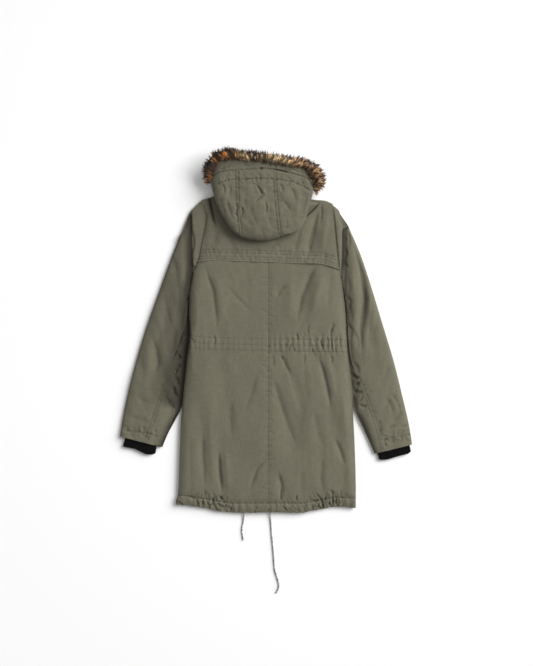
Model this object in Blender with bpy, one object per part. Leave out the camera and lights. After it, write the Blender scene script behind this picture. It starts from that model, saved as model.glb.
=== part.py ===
"""Fur-trimmed parka, zipped up and laid flat with its back up and its hood thrown back.

Metres, +Z up. +Y runs from the hem to the hood and +X to the right of someone looking down
on the back. The fronts rest on the surface at z = 0, the back lies on them, the sleeves lie
along its sides, and the hood lies on the yoke as a flattened pouch whose mouth faces +Y.
Left and right are the viewer's. Every cut piece is its own object.
"""

import math
from collections import namedtuple

import bmesh
import bpy
import numpy as np
from mathutils import Vector

# Cloth and seams
WALL = 0.0062  # padded wall: shell cloth, wadding and lining together
SEAM = 0.0003  # gap between two pieces at a seam
ARMHOLE_GAP = 0.0008  # the same at the curved armhole
NECK_GAP = 0.0010  # the same at the curved front neckline
INSIDE = WALL + SEAM  # height of the back's plain inside, on top of the fronts
EDGE_RISE = 0.0042  # thickness of the back's wall where it rolls over to a side seam
ROLL = 0.012  # width of that roll
BACK_TOP = INSIDE + WALL  # height of the back's outer side away from its edges
CROWN = 0.0055  # how far the padded middle of the back swells above that

# Body: half widths to the armhole seam above the armpit and to the side fold below it
BodyRow = namedtuple("BodyRow", "y left right")
BODY = (
    BodyRow(0.385, 0.182, 0.188),
    BodyRow(0.355, 0.181, 0.190),
    BodyRow(0.300, 0.182, 0.197),
    BodyRow(0.237, 0.193, 0.203),
    BodyRow(0.175, 0.203, 0.209),
    BodyRow(0.114, 0.216, 0.219),
    BodyRow(0.050, 0.2185, 0.226),
    BodyRow(-0.014, 0.217, 0.228),
    BodyRow(-0.057, 0.222, 0.231),
    BodyRow(-0.171, 0.234, 0.244),
    BodyRow(-0.257, 0.242, 0.2485),
    BodyRow(-0.342, 0.245, 0.2525),
    BodyRow(-0.428, 0.248, 0.255),
    BodyRow(-0.520, 0.252, 0.255),
)
ARMPIT_Y = 0.114
CENTRE_BACK = 0.006  # the centre back seam
CENTRE_FRONT = -0.025  # the front zip
LEFT, RIGHT = -1, 1

# Lines across the body, from left to right
LineRow = namedtuple("LineRow", "x y")
SHOULDER = (
    LineRow(-0.190, 0.361),
    LineRow(-0.153, 0.378),
    LineRow(-0.110, 0.386),
    LineRow(-0.075, 0.388),
    LineRow(0.000, 0.380),
    LineRow(0.075, 0.386),
    LineRow(0.137, 0.369),
    LineRow(0.176, 0.365),
    LineRow(0.195, 0.354),
)
YOKE_SEAM = (
    LineRow(-0.210, 0.190),
    LineRow(-0.168, 0.196),
    LineRow(-0.074, 0.194),
    LineRow(0.014, 0.192),
    LineRow(0.099, 0.188),
    LineRow(0.156, 0.187),
    LineRow(0.212, 0.171),
)
HEM = (
    LineRow(-0.256, -0.4960),
    LineRow(-0.207, -0.5010),
    LineRow(-0.149, -0.5120),
    LineRow(-0.100, -0.5190),
    LineRow(-0.040, -0.5195),
    LineRow(0.020, -0.5185),
    LineRow(0.099, -0.5195),
    LineRow(0.137, -0.5140),
    LineRow(0.194, -0.5030),
    LineRow(0.260, -0.5060),
)
NECK_HALF = 0.075  # half the width of the neck opening
FRONT_NECK_Y = 0.318  # lowest point of the front neckline
NECK_POINT_Y = 0.388

# Waist and hem channels
WAIST_TOP, WAIST_BOTTOM = -0.020, -0.060
HEM_CHANNEL = 0.027  # height of the hem channel above the hem edge
GatherRow = namedtuple("GatherRow", "x waist hem")
GATHERS = (  # how far the gathers stand out, along the body
    GatherRow(-0.250, 0.0012, 0.0010),
    GatherRow(-0.190, 0.0012, 0.0006),
    GatherRow(-0.140, 0.0006, 0.0016),
    GatherRow(-0.060, 0.0004, 0.0012),
    GatherRow(0.006, 0.0006, 0.0008),
    GatherRow(0.060, 0.0016, 0.0010),
    GatherRow(0.120, 0.0014, 0.0010),
    GatherRow(0.170, 0.0020, 0.0024),
    GatherRow(0.250, 0.0014, 0.0008),
)
WAIST_PITCH, HEM_PITCH = 0.0155, 0.0190  # from one gather to the next

# Largest folds of the back: long soft ridges and, where height is negative, troughs
Fold = namedtuple("Fold", "x0 y0 x1 y1 width height")
BACK_FOLDS = (
    Fold(0.138, 0.190, 0.096, -0.015, 0.012, -0.0028),
    Fold(0.160, 0.150, 0.122, -0.012, 0.016, 0.0020),
    Fold(-0.172, 0.185, -0.140, -0.010, 0.014, -0.0018),
    Fold(-0.110, 0.128, -0.022, 0.044, 0.014, -0.0014),
    Fold(-0.060, 0.150, -0.055, 0.010, 0.020, 0.0012),
    Fold(0.040, -0.075, 0.125, -0.250, 0.012, -0.0026),
    Fold(0.125, -0.060, 0.163, -0.115, 0.011, -0.0028),
    Fold(0.163, -0.115, 0.210, -0.370, 0.012, -0.0026),
    Fold(0.090, -0.080, 0.150, -0.330, 0.018, 0.0024),
    Fold(0.060, -0.280, 0.072, -0.352, 0.011, -0.0026),
    Fold(0.020, -0.390, 0.048, -0.470, 0.012, -0.0026),
    Fold(0.222, -0.330, 0.220, -0.460, 0.011, -0.0022),
    Fold(-0.178, -0.240, -0.174, -0.460, 0.012, -0.0022),
    Fold(-0.132, -0.330, -0.128, -0.478, 0.012, -0.0030),
    Fold(-0.155, -0.180, -0.150, -0.430, 0.014, 0.0016),
    Fold(-0.066, -0.300, -0.070, -0.380, 0.011, -0.0018),
    Fold(-0.090, -0.060, -0.080, -0.300, 0.018, 0.0014),
)
YOKE_FOLDS = (
    Fold(0.150, 0.340, 0.120, 0.195, 0.012, -0.0020),
    Fold(0.176, 0.330, 0.186, 0.215, 0.009, 0.0012),
    Fold(-0.172, 0.330, -0.188, 0.205, 0.010, -0.0014),
    Fold(-0.150, 0.350, -0.140, 0.220, 0.016, 0.0010),
)

# Sleeves: a flattened tube through these sections. out is the overarm fold and tuck the
# underarm fold, with x counted outwards from the middle of the body
SleeveRow = namedtuple("SleeveRow", "s out_x out_y tuck_x tuck_y height wall")
LEFT_SLEEVE = (
    SleeveRow(0.00, 0.1830, 0.360, 0.2175, 0.112, 0.0130, 0.0062),
    SleeveRow(0.06, 0.2130, 0.341, 0.2200, 0.097, 0.0140, 0.0062),
    SleeveRow(0.15, 0.2370, 0.285, 0.2220, 0.074, 0.0158, 0.0064),
    SleeveRow(0.26, 0.2650, 0.217, 0.2225, 0.038, 0.0165, 0.0064),
    SleeveRow(0.40, 0.3020, 0.114, 0.2250, -0.020, 0.0165, 0.0064),
    SleeveRow(0.54, 0.3390, 0.011, 0.2310, -0.085, 0.0165, 0.0064),
    SleeveRow(0.68, 0.3700, -0.091, 0.2390, -0.160, 0.0165, 0.0064),
    SleeveRow(0.82, 0.3960, -0.194, 0.2480, -0.238, 0.0160, 0.0058),
    SleeveRow(0.92, 0.4085, -0.258, 0.2770, -0.290, 0.0155, 0.0044),
    SleeveRow(1.00, 0.4155, -0.303, 0.2950, -0.334, 0.0152, 0.0038),
)
RIGHT_SLEEVE = (
    SleeveRow(0.00, 0.1910, 0.354, 0.2205, 0.112, 0.0130, 0.0062),
    SleeveRow(0.06, 0.2160, 0.333, 0.2230, 0.097, 0.0140, 0.0062),
    SleeveRow(0.15, 0.2400, 0.280, 0.2260, 0.074, 0.0158, 0.0064),
    SleeveRow(0.26, 0.2680, 0.217, 0.2300, 0.038, 0.0165, 0.0064),
    SleeveRow(0.40, 0.3020, 0.114, 0.2330, -0.020, 0.0165, 0.0064),
    SleeveRow(0.54, 0.3330, 0.011, 0.2400, -0.085, 0.0165, 0.0064),
    SleeveRow(0.68, 0.3640, -0.091, 0.2470, -0.160, 0.0165, 0.0064),
    SleeveRow(0.82, 0.3900, -0.198, 0.2555, -0.236, 0.0160, 0.0058),
    SleeveRow(0.92, 0.4065, -0.268, 0.2850, -0.298, 0.0155, 0.0044),
    SleeveRow(1.00, 0.4155, -0.326, 0.3090, -0.352, 0.0152, 0.0038),
)
SLEEVE_RINGS = (0, 0.02, 0.04, 0.06, 0.08, 0.11, 0.15, 0.2, 0.26, 0.32, 0.38, 0.44, 0.5)
SLEEVE_RINGS += (0.56, 0.62, 0.68, 0.74, 0.8, 0.86, 0.92, 0.96, 1.0)
CREASE_X = 0.218  # the deep crease beside the armhole, from the shoulder to the armpit
CREASE_DEPTH = 0.0050
BESIDE_GAP = 0.0012  # between a sleeve's underarm fold and the body's side
BESIDE_END = 0.78  # from here on down the sleeve leaves the body's side
INNER_SLOPE, END_SLOPE = 0.056, 0.011  # width over which a sleeve falls to its underarm fold
MIDDLE = 0.0068  # height at which a sleeve's two layers part
SLEEVE_FOLDS = (  # x counted outwards, the same on both sleeves
    Fold(0.262, 0.160, 0.300, -0.060, 0.012, -0.0020),
    Fold(0.300, 0.020, 0.318, -0.140, 0.013, -0.0018),
    Fold(0.285, 0.120, 0.345, -0.090, 0.016, 0.0016),
    Fold(0.245, 0.200, 0.255, 0.030, 0.012, 0.0014),
    Fold(0.345, -0.120, 0.385, -0.240, 0.016, 0.0012),
)
SeamRow = namedtuple("SeamRow", "s across")
LEFT_SEAM = (  # how far across from the overarm fold the back seam of a sleeve lies
    SeamRow(0.00, 0.900),
    SeamRow(0.15, 0.905),
    SeamRow(0.30, 0.900),
    SeamRow(0.42, 0.855),
    SeamRow(0.54, 0.760),
    SeamRow(0.68, 0.660),
    SeamRow(0.82, 0.595),
    SeamRow(1.00, 0.620),
)
RIGHT_SEAM = (
    SeamRow(0.00, 0.900),
    SeamRow(0.20, 0.920),
    SeamRow(0.40, 0.945),
    SeamRow(0.54, 0.945),
    SeamRow(0.68, 0.840),
    SeamRow(0.82, 0.715),
    SeamRow(0.92, 0.725),
    SeamRow(1.00, 0.790),
)
FRONT_SEAM = 0.45  # the same for the front seam, on the underside

# Rib cuffs
CUFF_HALF = 0.0470
CUFF_IN, CUFF_OUT = 0.036, 0.021  # inside the sleeve and past its end
CUFF_WALL = 0.0020
CUFF_LOW, CUFF_HIGH = 0.0048, 0.0100
RIB_PITCH, RIB_DEPTH = 0.0050, 0.0006

# Patch at the left sleeve's overarm fold
PATCH_S, PATCH_LENGTH, PATCH_THICK = 0.188, 0.021, 0.0010

# Hood: rows from the mouth (v = 0) to the fold at the bottom of the pouch (v = 1)
HoodRow = namedtuple("HoodRow", "v left_x left_y seam_l_x seam_l_y seam_r_x seam_r_y right_x right_y low")
HOOD = (
    HoodRow(0.00, -0.1580, 0.432, -0.082, 0.458, 0.025, 0.458, 0.1370, 0.426, 0.0066),
    HoodRow(0.20, -0.1550, 0.408, -0.081, 0.421, 0.026, 0.421, 0.1360, 0.403, 0.0120),
    HoodRow(0.40, -0.1450, 0.369, -0.080, 0.381, 0.028, 0.380, 0.1290, 0.369, 0.0174),
    HoodRow(0.60, -0.1290, 0.330, -0.078, 0.340, 0.031, 0.338, 0.1190, 0.334, 0.0174),
    HoodRow(0.80, -0.1090, 0.297, -0.075, 0.299, 0.035, 0.297, 0.1060, 0.299, 0.0174),
    HoodRow(0.92, -0.0940, 0.277, -0.073, 0.275, 0.038, 0.272, 0.0850, 0.275, 0.0174),
    HoodRow(1.00, -0.0740, 0.264, -0.071, 0.262, 0.040, 0.261, 0.0440, 0.263, 0.0174),
)
HOOD_EDGE_BOW = {LEFT: 0.010, RIGHT: 0.004}  # how far a side panel's edge bows out at the mouth
HOOD_TOP = 0.056  # height of the hood's outer side along its seams
HOOD_CROWN = 0.002  # how far the middle of the centre panel stands above its seams
HOOD_WALL = 0.0048
HOOD_BELOW = 0.010  # from the widest point of its side folds down to their underside
HOOD_BOTTOM_BOW = 0.010  # how far the bottom of the centre panel bows out past its seams
LIP = math.radians(140)  # how far a side panel turns under at its fold
HOOD_ROWS = (0, 0.1, 0.2, 0.3, 0.4, 0.5, 0.6, 0.7, 0.79, 0.87, 0.93, 0.97, 0.99)
NAPE_LOW, NAPE_HIGH = 0.0131, 0.0171

# Strip that carries the fur, tucked under the hood's edge
STRIP_WALL = 0.0022
STRIP_TUCK = 0.055  # how far it reaches under the hood, as a share of the hood's rows
STRIP_GAP = 0.0006
STRIP_EDGE = (
    LineRow(-0.160, 0.444),
    LineRow(-0.150, 0.462),
    LineRow(-0.136, 0.475),
    LineRow(-0.117, 0.4815),
    LineRow(-0.090, 0.4830),
    LineRow(-0.026, 0.4825),
    LineRow(0.017, 0.4785),
    LineRow(0.077, 0.4670),
    LineRow(0.117, 0.4545),
    LineRow(0.138, 0.4390),
)

# Fur: a full, uneven roll along that strip, part of it under the strip's edge
FurRow = namedtuple("FurRow", "x y z across rise under")
FUR = (
    FurRow(-0.1710, 0.4180, 0.0170, 0.0085, 0.0110, 0.0),
    FurRow(-0.1725, 0.4340, 0.0280, 0.0095, 0.0150, 0.0),
    FurRow(-0.1700, 0.4590, 0.0380, 0.0115, 0.0180, 0.0),
    FurRow(-0.1530, 0.4860, 0.0460, 0.0140, 0.0195, 0.3),
    FurRow(-0.1200, 0.5000, 0.0490, 0.0170, 0.0205, 0.8),
    FurRow(-0.0880, 0.4990, 0.0500, 0.0155, 0.0205, 1.0),
    FurRow(-0.0550, 0.4970, 0.0500, 0.0135, 0.0200, 1.0),
    FurRow(-0.0150, 0.4940, 0.0500, 0.0125, 0.0195, 1.0),
    FurRow(0.0300, 0.4885, 0.0500, 0.0120, 0.0195, 1.0),
    FurRow(0.0720, 0.4810, 0.0470, 0.0125, 0.0195, 0.8),
    FurRow(0.1120, 0.4730, 0.0430, 0.0145, 0.0195, 0.2),
    FurRow(0.1430, 0.4570, 0.0385, 0.0155, 0.0190, 0.0),
    FurRow(0.1580, 0.4330, 0.0330, 0.0150, 0.0175, 0.0),
    FurRow(0.1570, 0.4100, 0.0250, 0.0130, 0.0145, 0.0),
    FurRow(0.1520, 0.3930, 0.0185, 0.0100, 0.0110, 0.0),
)
SectionRow = namedtuple("SectionRow", "out under up")
FUR_SECTION = (  # out and up are shares of across and rise; under is added on the inner side
    SectionRow(1.00, 0.0, 0.00),
    SectionRow(0.86, 0.0, 0.52),
    SectionRow(0.45, 0.0, 0.90),
    SectionRow(-0.10, 0.0, 1.00),
    SectionRow(-0.65, 0.0, 0.76),
    SectionRow(-0.96, 0.0, 0.28),
    SectionRow(-1.00, 0.0, -0.26),
    SectionRow(-0.95, 1.0, -0.42),
    SectionRow(-0.80, 1.3, -0.70),
    SectionRow(-0.45, 0.9, -1.00),
    SectionRow(0.30, 0.0, -0.96),
    SectionRow(0.80, 0.0, -0.56),
)
FUR_STATIONS = 44
FUR_UNEVEN = 0.10  # share by which the roll swells and narrows

# Hem drawcord's free ends: routes chosen by hand, from the hem edge on
CORD_RADIUS = 0.00175
CordPoint = namedtuple("CordPoint", "x y z")
LEFT_CORD = (
    CordPoint(-0.0630, -0.5200, 0.0064),
    CordPoint(-0.0632, -0.5290, 0.0048),
    CordPoint(-0.0640, -0.5380, 0.0028),
    CordPoint(-0.0655, -0.5500, 0.0020),
    CordPoint(-0.0682, -0.5630, 0.0020),
    CordPoint(-0.0684, -0.5760, 0.0020),
    CordPoint(-0.0668, -0.5880, 0.0020),
    CordPoint(-0.0650, -0.6000, 0.0020),
)
RIGHT_CORD = (
    CordPoint(0.0114, -0.5190, 0.0064),
    CordPoint(0.0120, -0.5290, 0.0048),
    CordPoint(0.0128, -0.5390, 0.0028),
    CordPoint(0.0142, -0.5600, 0.0020),
    CordPoint(0.0162, -0.5850, 0.0020),
    CordPoint(0.0190, -0.6150, 0.0020),
    CordPoint(0.0216, -0.6450, 0.0020),
    CordPoint(0.0232, -0.6680, 0.0020),
    CordPoint(0.0252, -0.6860, 0.0020),
    CordPoint(0.0312, -0.7060, 0.0020),
    CordPoint(0.0362, -0.7240, 0.0020),
    CordPoint(0.0345, -0.7380, 0.0020),
    CordPoint(0.0285, -0.7500, 0.0020),
)
CORD_STEP = 0.0085  # between the points of a cord's solid

# Colours, linear, with roughness
OLIVE = (0.155, 0.147, 0.105, 0.85)
RIB_BLACK = (0.006, 0.006, 0.007, 0.9)
FUR_BROWN = (0.16, 0.085, 0.035, 0.9)
CORD_GREY = (0.42, 0.39, 0.37, 0.8)
ZIP_BLACK = (0.02, 0.02, 0.02, 0.6)
PATCH_BROWN = (0.16, 0.035, 0.015, 0.6)


def smooth(table, key, value):
    """A function that runs smoothly through one column of a table, against another."""
    rows = sorted(table, key=lambda row: getattr(row, key))
    at = np.array([getattr(row, key) for row in rows])
    what = np.array([getattr(row, value) for row in rows])
    slope = np.gradient(what, at)

    def run(x):
        x = min(max(x, at[0]), at[-1])
        i = min(int(np.searchsorted(at, x, side="right")) - 1, len(at) - 2)
        step = at[i + 1] - at[i]
        t = (x - at[i]) / step
        start = (1 + 2 * t) * (1 - t) ** 2 * what[i] + t * (1 - t) ** 2 * step * slope[i]
        end = t * t * (3 - 2 * t) * what[i + 1] - t * t * (1 - t) * step * slope[i + 1]
        return float(start + end)

    return run


half_width = {LEFT: smooth(BODY, "y", "left"), RIGHT: smooth(BODY, "y", "right")}
shoulder_y = smooth(SHOULDER, "x", "y")
yoke_seam_y = smooth(YOKE_SEAM, "x", "y")
hem_y = smooth(HEM, "x", "y")
waist_gather = smooth(GATHERS, "x", "waist")
hem_gather = smooth(GATHERS, "x", "hem")
strip_edge_y = smooth(STRIP_EDGE, "x", "y")


def mix(a, b, t):
    return a + (b - a) * t


def step_up(t):
    """0 below t = 0, 1 above t = 1, and smooth between them."""
    t = min(max(t, 0.0), 1.0)
    return t * t * (3 - 2 * t)


def rolled(gap, width):
    """Share of the full height that cloth has at this distance from a rolled edge."""
    near = 1 - min(max(gap / width, 0.0), 1.0)
    return math.sqrt(1 - near * near)


def relief(folds, x, y):
    """Height that the folds add at a point: each fades out towards its two ends."""
    total = 0.0
    for fold in folds:
        along = Vector((fold.x1 - fold.x0, fold.y1 - fold.y0))
        offset = Vector((x - fold.x0, y - fold.y0))
        t = min(max(offset.dot(along) / along.length_squared, 0.0), 1.0)
        away = (offset - along * t).length / fold.width
        total += fold.height * math.exp(-away * away) * math.sin(math.pi * mix(0.12, 0.88, t))
    return total


def material(name, colour):
    """A plain finish: linear red, green and blue, then roughness."""
    finish = bpy.data.materials.get(name) or bpy.data.materials.new(name)
    finish.use_nodes = True
    shader = finish.node_tree.nodes["Principled BSDF"]
    shader.inputs["Base Color"].default_value = (*colour[:3], 1.0)
    shader.inputs["Roughness"].default_value = colour[3]
    shader.inputs["Metallic"].default_value = 0.0
    return finish


def add_object(name, data, finish):
    data.materials.append(finish)
    piece = bpy.data.objects.new(name, data)
    parts.objects.link(piece)
    return piece


def mesh_piece(name, bm, finish):
    bmesh.ops.recalc_face_normals(bm, faces=bm.faces)
    mesh = bpy.data.meshes.new(name)
    bm.to_mesh(mesh)
    bm.free()
    mesh.shade_smooth()
    mesh.set_sharp_from_angle(angle=math.radians(50))
    return add_object(name, mesh, finish)


def join_rows(bm, upper, lower):
    """Faces between two rows of points, where one row may have a multiple of the other's."""
    cells = min(len(upper), len(lower)) - 1
    up, down = (len(upper) - 1) // cells, (len(lower) - 1) // cells
    for i in range(cells):
        top = upper[i * up : (i + 1) * up + 1]
        bottom = lower[i * down : (i + 1) * down + 1]
        bm.faces.new(top + bottom[::-1])


def draped_panel(name, finish, rows, plan, top, inside):
    """A cloth wall whose outer side is raised by top(x, y) over a plain, flat inside.

    rows gives each row's share of the way down and its number of columns.
    """
    bm = bmesh.new()
    grid = []
    for v, columns in rows:
        places = [plan(i / columns, v) for i in range(columns + 1)]
        grid.append([bm.verts.new((x, y, top(x, y))) for x, y in places])
    for upper, lower in zip(grid, grid[1:]):
        join_rows(bm, upper, lower)
    rim = grid[0] + [row[-1] for row in grid[1:]]
    rim += grid[-1][-2::-1] + [row[0] for row in grid[-2:0:-1]]
    under = [bm.verts.new((vert.co.x, vert.co.y, inside)) for vert in rim]
    bm.faces.new(under)
    for i, vert in enumerate(rim):
        bm.faces.new((vert, rim[i - 1], under[i - 1], under[i]))
    return mesh_piece(name, bm, finish)


def strip_wall(name, finish, outer, inner):
    """A cloth wall between two grids of points of the same size, open at its four sides."""
    bm = bmesh.new()
    faces = [[[bm.verts.new(p) for p in row] for row in grid] for grid in (outer, inner)]
    for grid in faces:
        for upper, lower in zip(grid, grid[1:]):
            join_rows(bm, upper, lower)
    rims = []
    for grid in faces:
        rim = grid[0] + [row[-1] for row in grid[1:]]
        rims.append(rim + grid[-1][-2::-1] + [row[0] for row in grid[-2:0:-1]])
    for i in range(len(rims[0])):
        bm.faces.new((rims[0][i], rims[0][i - 1], rims[1][i - 1], rims[1][i]))
    return mesh_piece(name, bm, finish)


def ringed_solid(name, finish, rings, inner=None):
    """A solid through closed rings, with capped ends; with inner rings it is an open tube."""
    bm = bmesh.new()
    made = [[bm.verts.new(p) for p in ring] for ring in rings]
    if inner:
        made += [[bm.verts.new(p) for p in ring] for ring in inner[::-1]]
        made.append(made[0])
    for a, b in zip(made, made[1:]):
        for i in range(len(a)):
            bm.faces.new((a[i - 1], a[i], b[i], b[i - 1]))
    if not inner:
        bm.faces.new(made[0])
        bm.faces.new(made[-1])
    return mesh_piece(name, bm, finish)


def flat_piece(name, finish, outline, low, high):
    """A flat cut piece: a filled outline with a thickness."""
    curve = bpy.data.curves.new(name, "CURVE")
    curve.dimensions = "2D"
    curve.fill_mode = "BOTH"
    curve.extrude = (high - low) / 2
    spline = curve.splines.new("POLY")
    spline.points.add(len(outline) - 1)
    for point, (x, y) in zip(spline.points, outline):
        point.co = (x, y, 0, 1)
    spline.use_cyclic_u = True
    piece = add_object(name, curve, finish)
    piece.location.z = (low + high) / 2
    return piece


# Body


def gather_wave(x, pitch):
    """Uneven gathers, each about one pitch wide."""
    return math.sin(2 * math.pi * (x / pitch + 0.30 * math.sin(x * 31) + 0.2 * math.sin(x * 67)))


def swell(x, y):
    """How far the back swells: nothing at its sides, at its hem and under the hood."""
    side_gap = half_width[LEFT if x < 0 else RIGHT](y) - abs(x)
    ends = step_up((y - hem_y(x)) / 0.055) * (1 - step_up((y - 0.175) / 0.075))
    return CROWN * rolled(side_gap, 0.030) * ends


def back_top(x, y):
    """Height of the back's outer side below the yoke."""
    hand = LEFT if x < 0 else RIGHT
    side_gap = half_width[hand](y) - abs(x)
    share = rolled(side_gap, ROLL)
    share = mix(share, 1.0, step_up((y - ARMPIT_Y) / 0.03))
    share = min(share, rolled(y - hem_y(x) + 0.002, 0.010))
    height = mix(EDGE_RISE, WALL, share) + swell(x, y)
    height += relief(BACK_FOLDS, x, y) * share
    height -= 0.0009 * math.exp(-(((x - CENTRE_BACK) / 0.004) ** 2))
    waist = step_up((WAIST_TOP + 0.004 - y) / 0.008) * step_up((y - WAIST_BOTTOM + 0.004) / 0.008)
    height += waist * (0.0006 + waist_gather(x) * gather_wave(x, WAIST_PITCH)) * share
    above_hem = y - hem_y(x)
    channel = 1 - step_up((above_hem - HEM_CHANNEL + 0.003) / 0.006)
    height += channel * (0.0012 + hem_gather(x) * gather_wave(x, HEM_PITCH)) * share
    height -= 0.0012 * math.exp(-(((above_hem - HEM_CHANNEL - 0.002) / 0.004) ** 2)) * share
    return INSIDE + max(height, 0.0015)


def back_plan(hand):
    """Plan of one half of the back: across from the centre seam, and down from the yoke."""

    def plan(u, v):
        middle = CENTRE_BACK + hand * SEAM / 2
        y = mix(0.190, -0.515, v)
        for again in range(2):
            x = mix(middle, hand * half_width[hand](y), u)
            y = mix(yoke_seam_y(x) - SEAM, hem_y(x), v)
        return x, y

    return plan


def back_rows():
    """Rows down the back, with finer columns through the two gathered channels."""
    coarse, fine = 15, 45
    rows = [(v, coarse) for v in (0, 0.02, 0.06, 0.11, 0.16, 0.21, 0.26)]
    rows += [(v, fine) for v in (0.288, 0.298, 0.312, 0.328, 0.344, 0.358, 0.368)]
    rows += [(v, coarse) for v in np.linspace(0.395, 0.925, 15)]
    rows += [(v, fine) for v in (0.948, 0.957, 0.966, 0.975, 0.985, 0.994, 1.0)]
    return rows


def make_back():
    for name, hand in (("back_left", LEFT), ("back_right", RIGHT)):
        draped_panel(name, olive, back_rows(), back_plan(hand), back_top, INSIDE)


def yoke_top(x, y):
    """Height of the yoke: its lower edge is stitched flat and stands over the back."""
    share = rolled(shoulder_y(x) - y, ROLL)
    height = mix(EDGE_RISE, WALL, share) + relief(YOKE_FOLDS, x, y) * share + swell(x, y)
    height += 0.0010 * (1 - step_up((y - yoke_seam_y(x) - 0.014) / 0.012))
    return INSIDE + height


def yoke_plan(u, v):
    y = mix(0.372, 0.185, v)
    for again in range(3):
        x = mix(-half_width[LEFT](y), half_width[RIGHT](y), u)
        y = mix(shoulder_y(x), yoke_seam_y(x), v)
    return x, y


def make_yoke():
    rows = [(v, 30) for v in (0, 0.02, 0.05, 0.10, 0.2, 0.32, 0.45, 0.58, 0.7, 0.8, 0.88, 0.94, 1)]
    draped_panel("back_yoke", olive, rows, yoke_plan, yoke_top, INSIDE)


def neckline(x):
    """Front neckline: a half ellipse between the two neck points."""
    reach = min(abs(x) / NECK_HALF, 1.0)
    return NECK_POINT_Y - (NECK_POINT_Y - FRONT_NECK_Y) * math.sqrt(1 - reach * reach)


ZIP_HALF = 0.0040


def make_fronts():
    """Two fronts that meet at the zip, cut to the same sides and hem as the back."""
    sides = np.linspace(-0.480, 0.345, 56)
    middle_shoulder = 0.137
    for name, hand in (("front_left", LEFT), ("front_right", RIGHT)):
        edge = CENTRE_FRONT + hand * (ZIP_HALF + SEAM)
        hem_places = [mix(edge, hand * 0.251, t) for t in np.linspace(0, 1, 9)]
        outline = [(x, hem_y(x) + 0.001) for x in hem_places]
        outline += [(hand * half_width[hand](y), y) for y in sides]
        outline += [(x * hand, shoulder_y(x * hand)) for x in (0.181, middle_shoulder, 0.110)]
        neck = [NECK_HALF * math.cos(a) for a in np.linspace(0, math.pi / 2, 7)]
        neck_places = [hand * x for x in neck if hand * x * hand > hand * edge + 0.004]
        outline += [(x, neckline(x)) for x in neck_places]
        outline.append((edge, neckline(edge)))
        flat_piece(name, olive, outline, 0.0, WALL)


COLLAR_TOP = 0.4300


def make_collar():
    """Stand collar, level with the fronts, from their neckline to the hood's mouth."""
    spread = {LEFT: 0.141, RIGHT: 0.126}
    for name, hand in (("collar_left", LEFT), ("collar_right", RIGHT)):
        edge = CENTRE_FRONT + hand * (ZIP_HALF + SEAM)
        steps = [NECK_HALF * math.cos(a) for a in np.linspace(math.pi / 2, 0, 7)]
        places = [hand * x for x in steps if hand * x * hand > hand * edge + 0.004]
        outline = [(edge, neckline(edge) + NECK_GAP)]
        outline += [(x, neckline(x) + NECK_GAP) for x in places]
        outline.append((hand * (NECK_HALF + 0.006), NECK_POINT_Y + 0.0020))
        outline.append((hand * spread[hand], COLLAR_TOP - 0.006))
        outline.append((edge, COLLAR_TOP))
        flat_piece(name, olive, outline, 0.0, WALL)


def make_zip():
    """Closed front zip, from the hem to the collar's edge."""
    bpy.ops.mesh.primitive_cube_add(size=1)
    teeth = bpy.context.object
    teeth.name = "front_zip"
    low, high = hem_y(CENTRE_FRONT) + 0.002, COLLAR_TOP - 0.001
    size = Vector((2 * ZIP_HALF, high - low, WALL - 0.0012))
    teeth.data.transform(np_scale(size))
    teeth.location = (CENTRE_FRONT, (low + high) / 2, WALL / 2)
    for collection in teeth.users_collection:
        collection.objects.unlink(teeth)
    parts.objects.link(teeth)
    teeth.data.materials.append(zip_black)


def np_scale(size):
    """Matrix that scales a unit cube to size."""
    return ((size.x, 0, 0, 0), (0, size.y, 0, 0), (0, 0, size.z, 0), (0, 0, 0, 1))


# Sleeves


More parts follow.
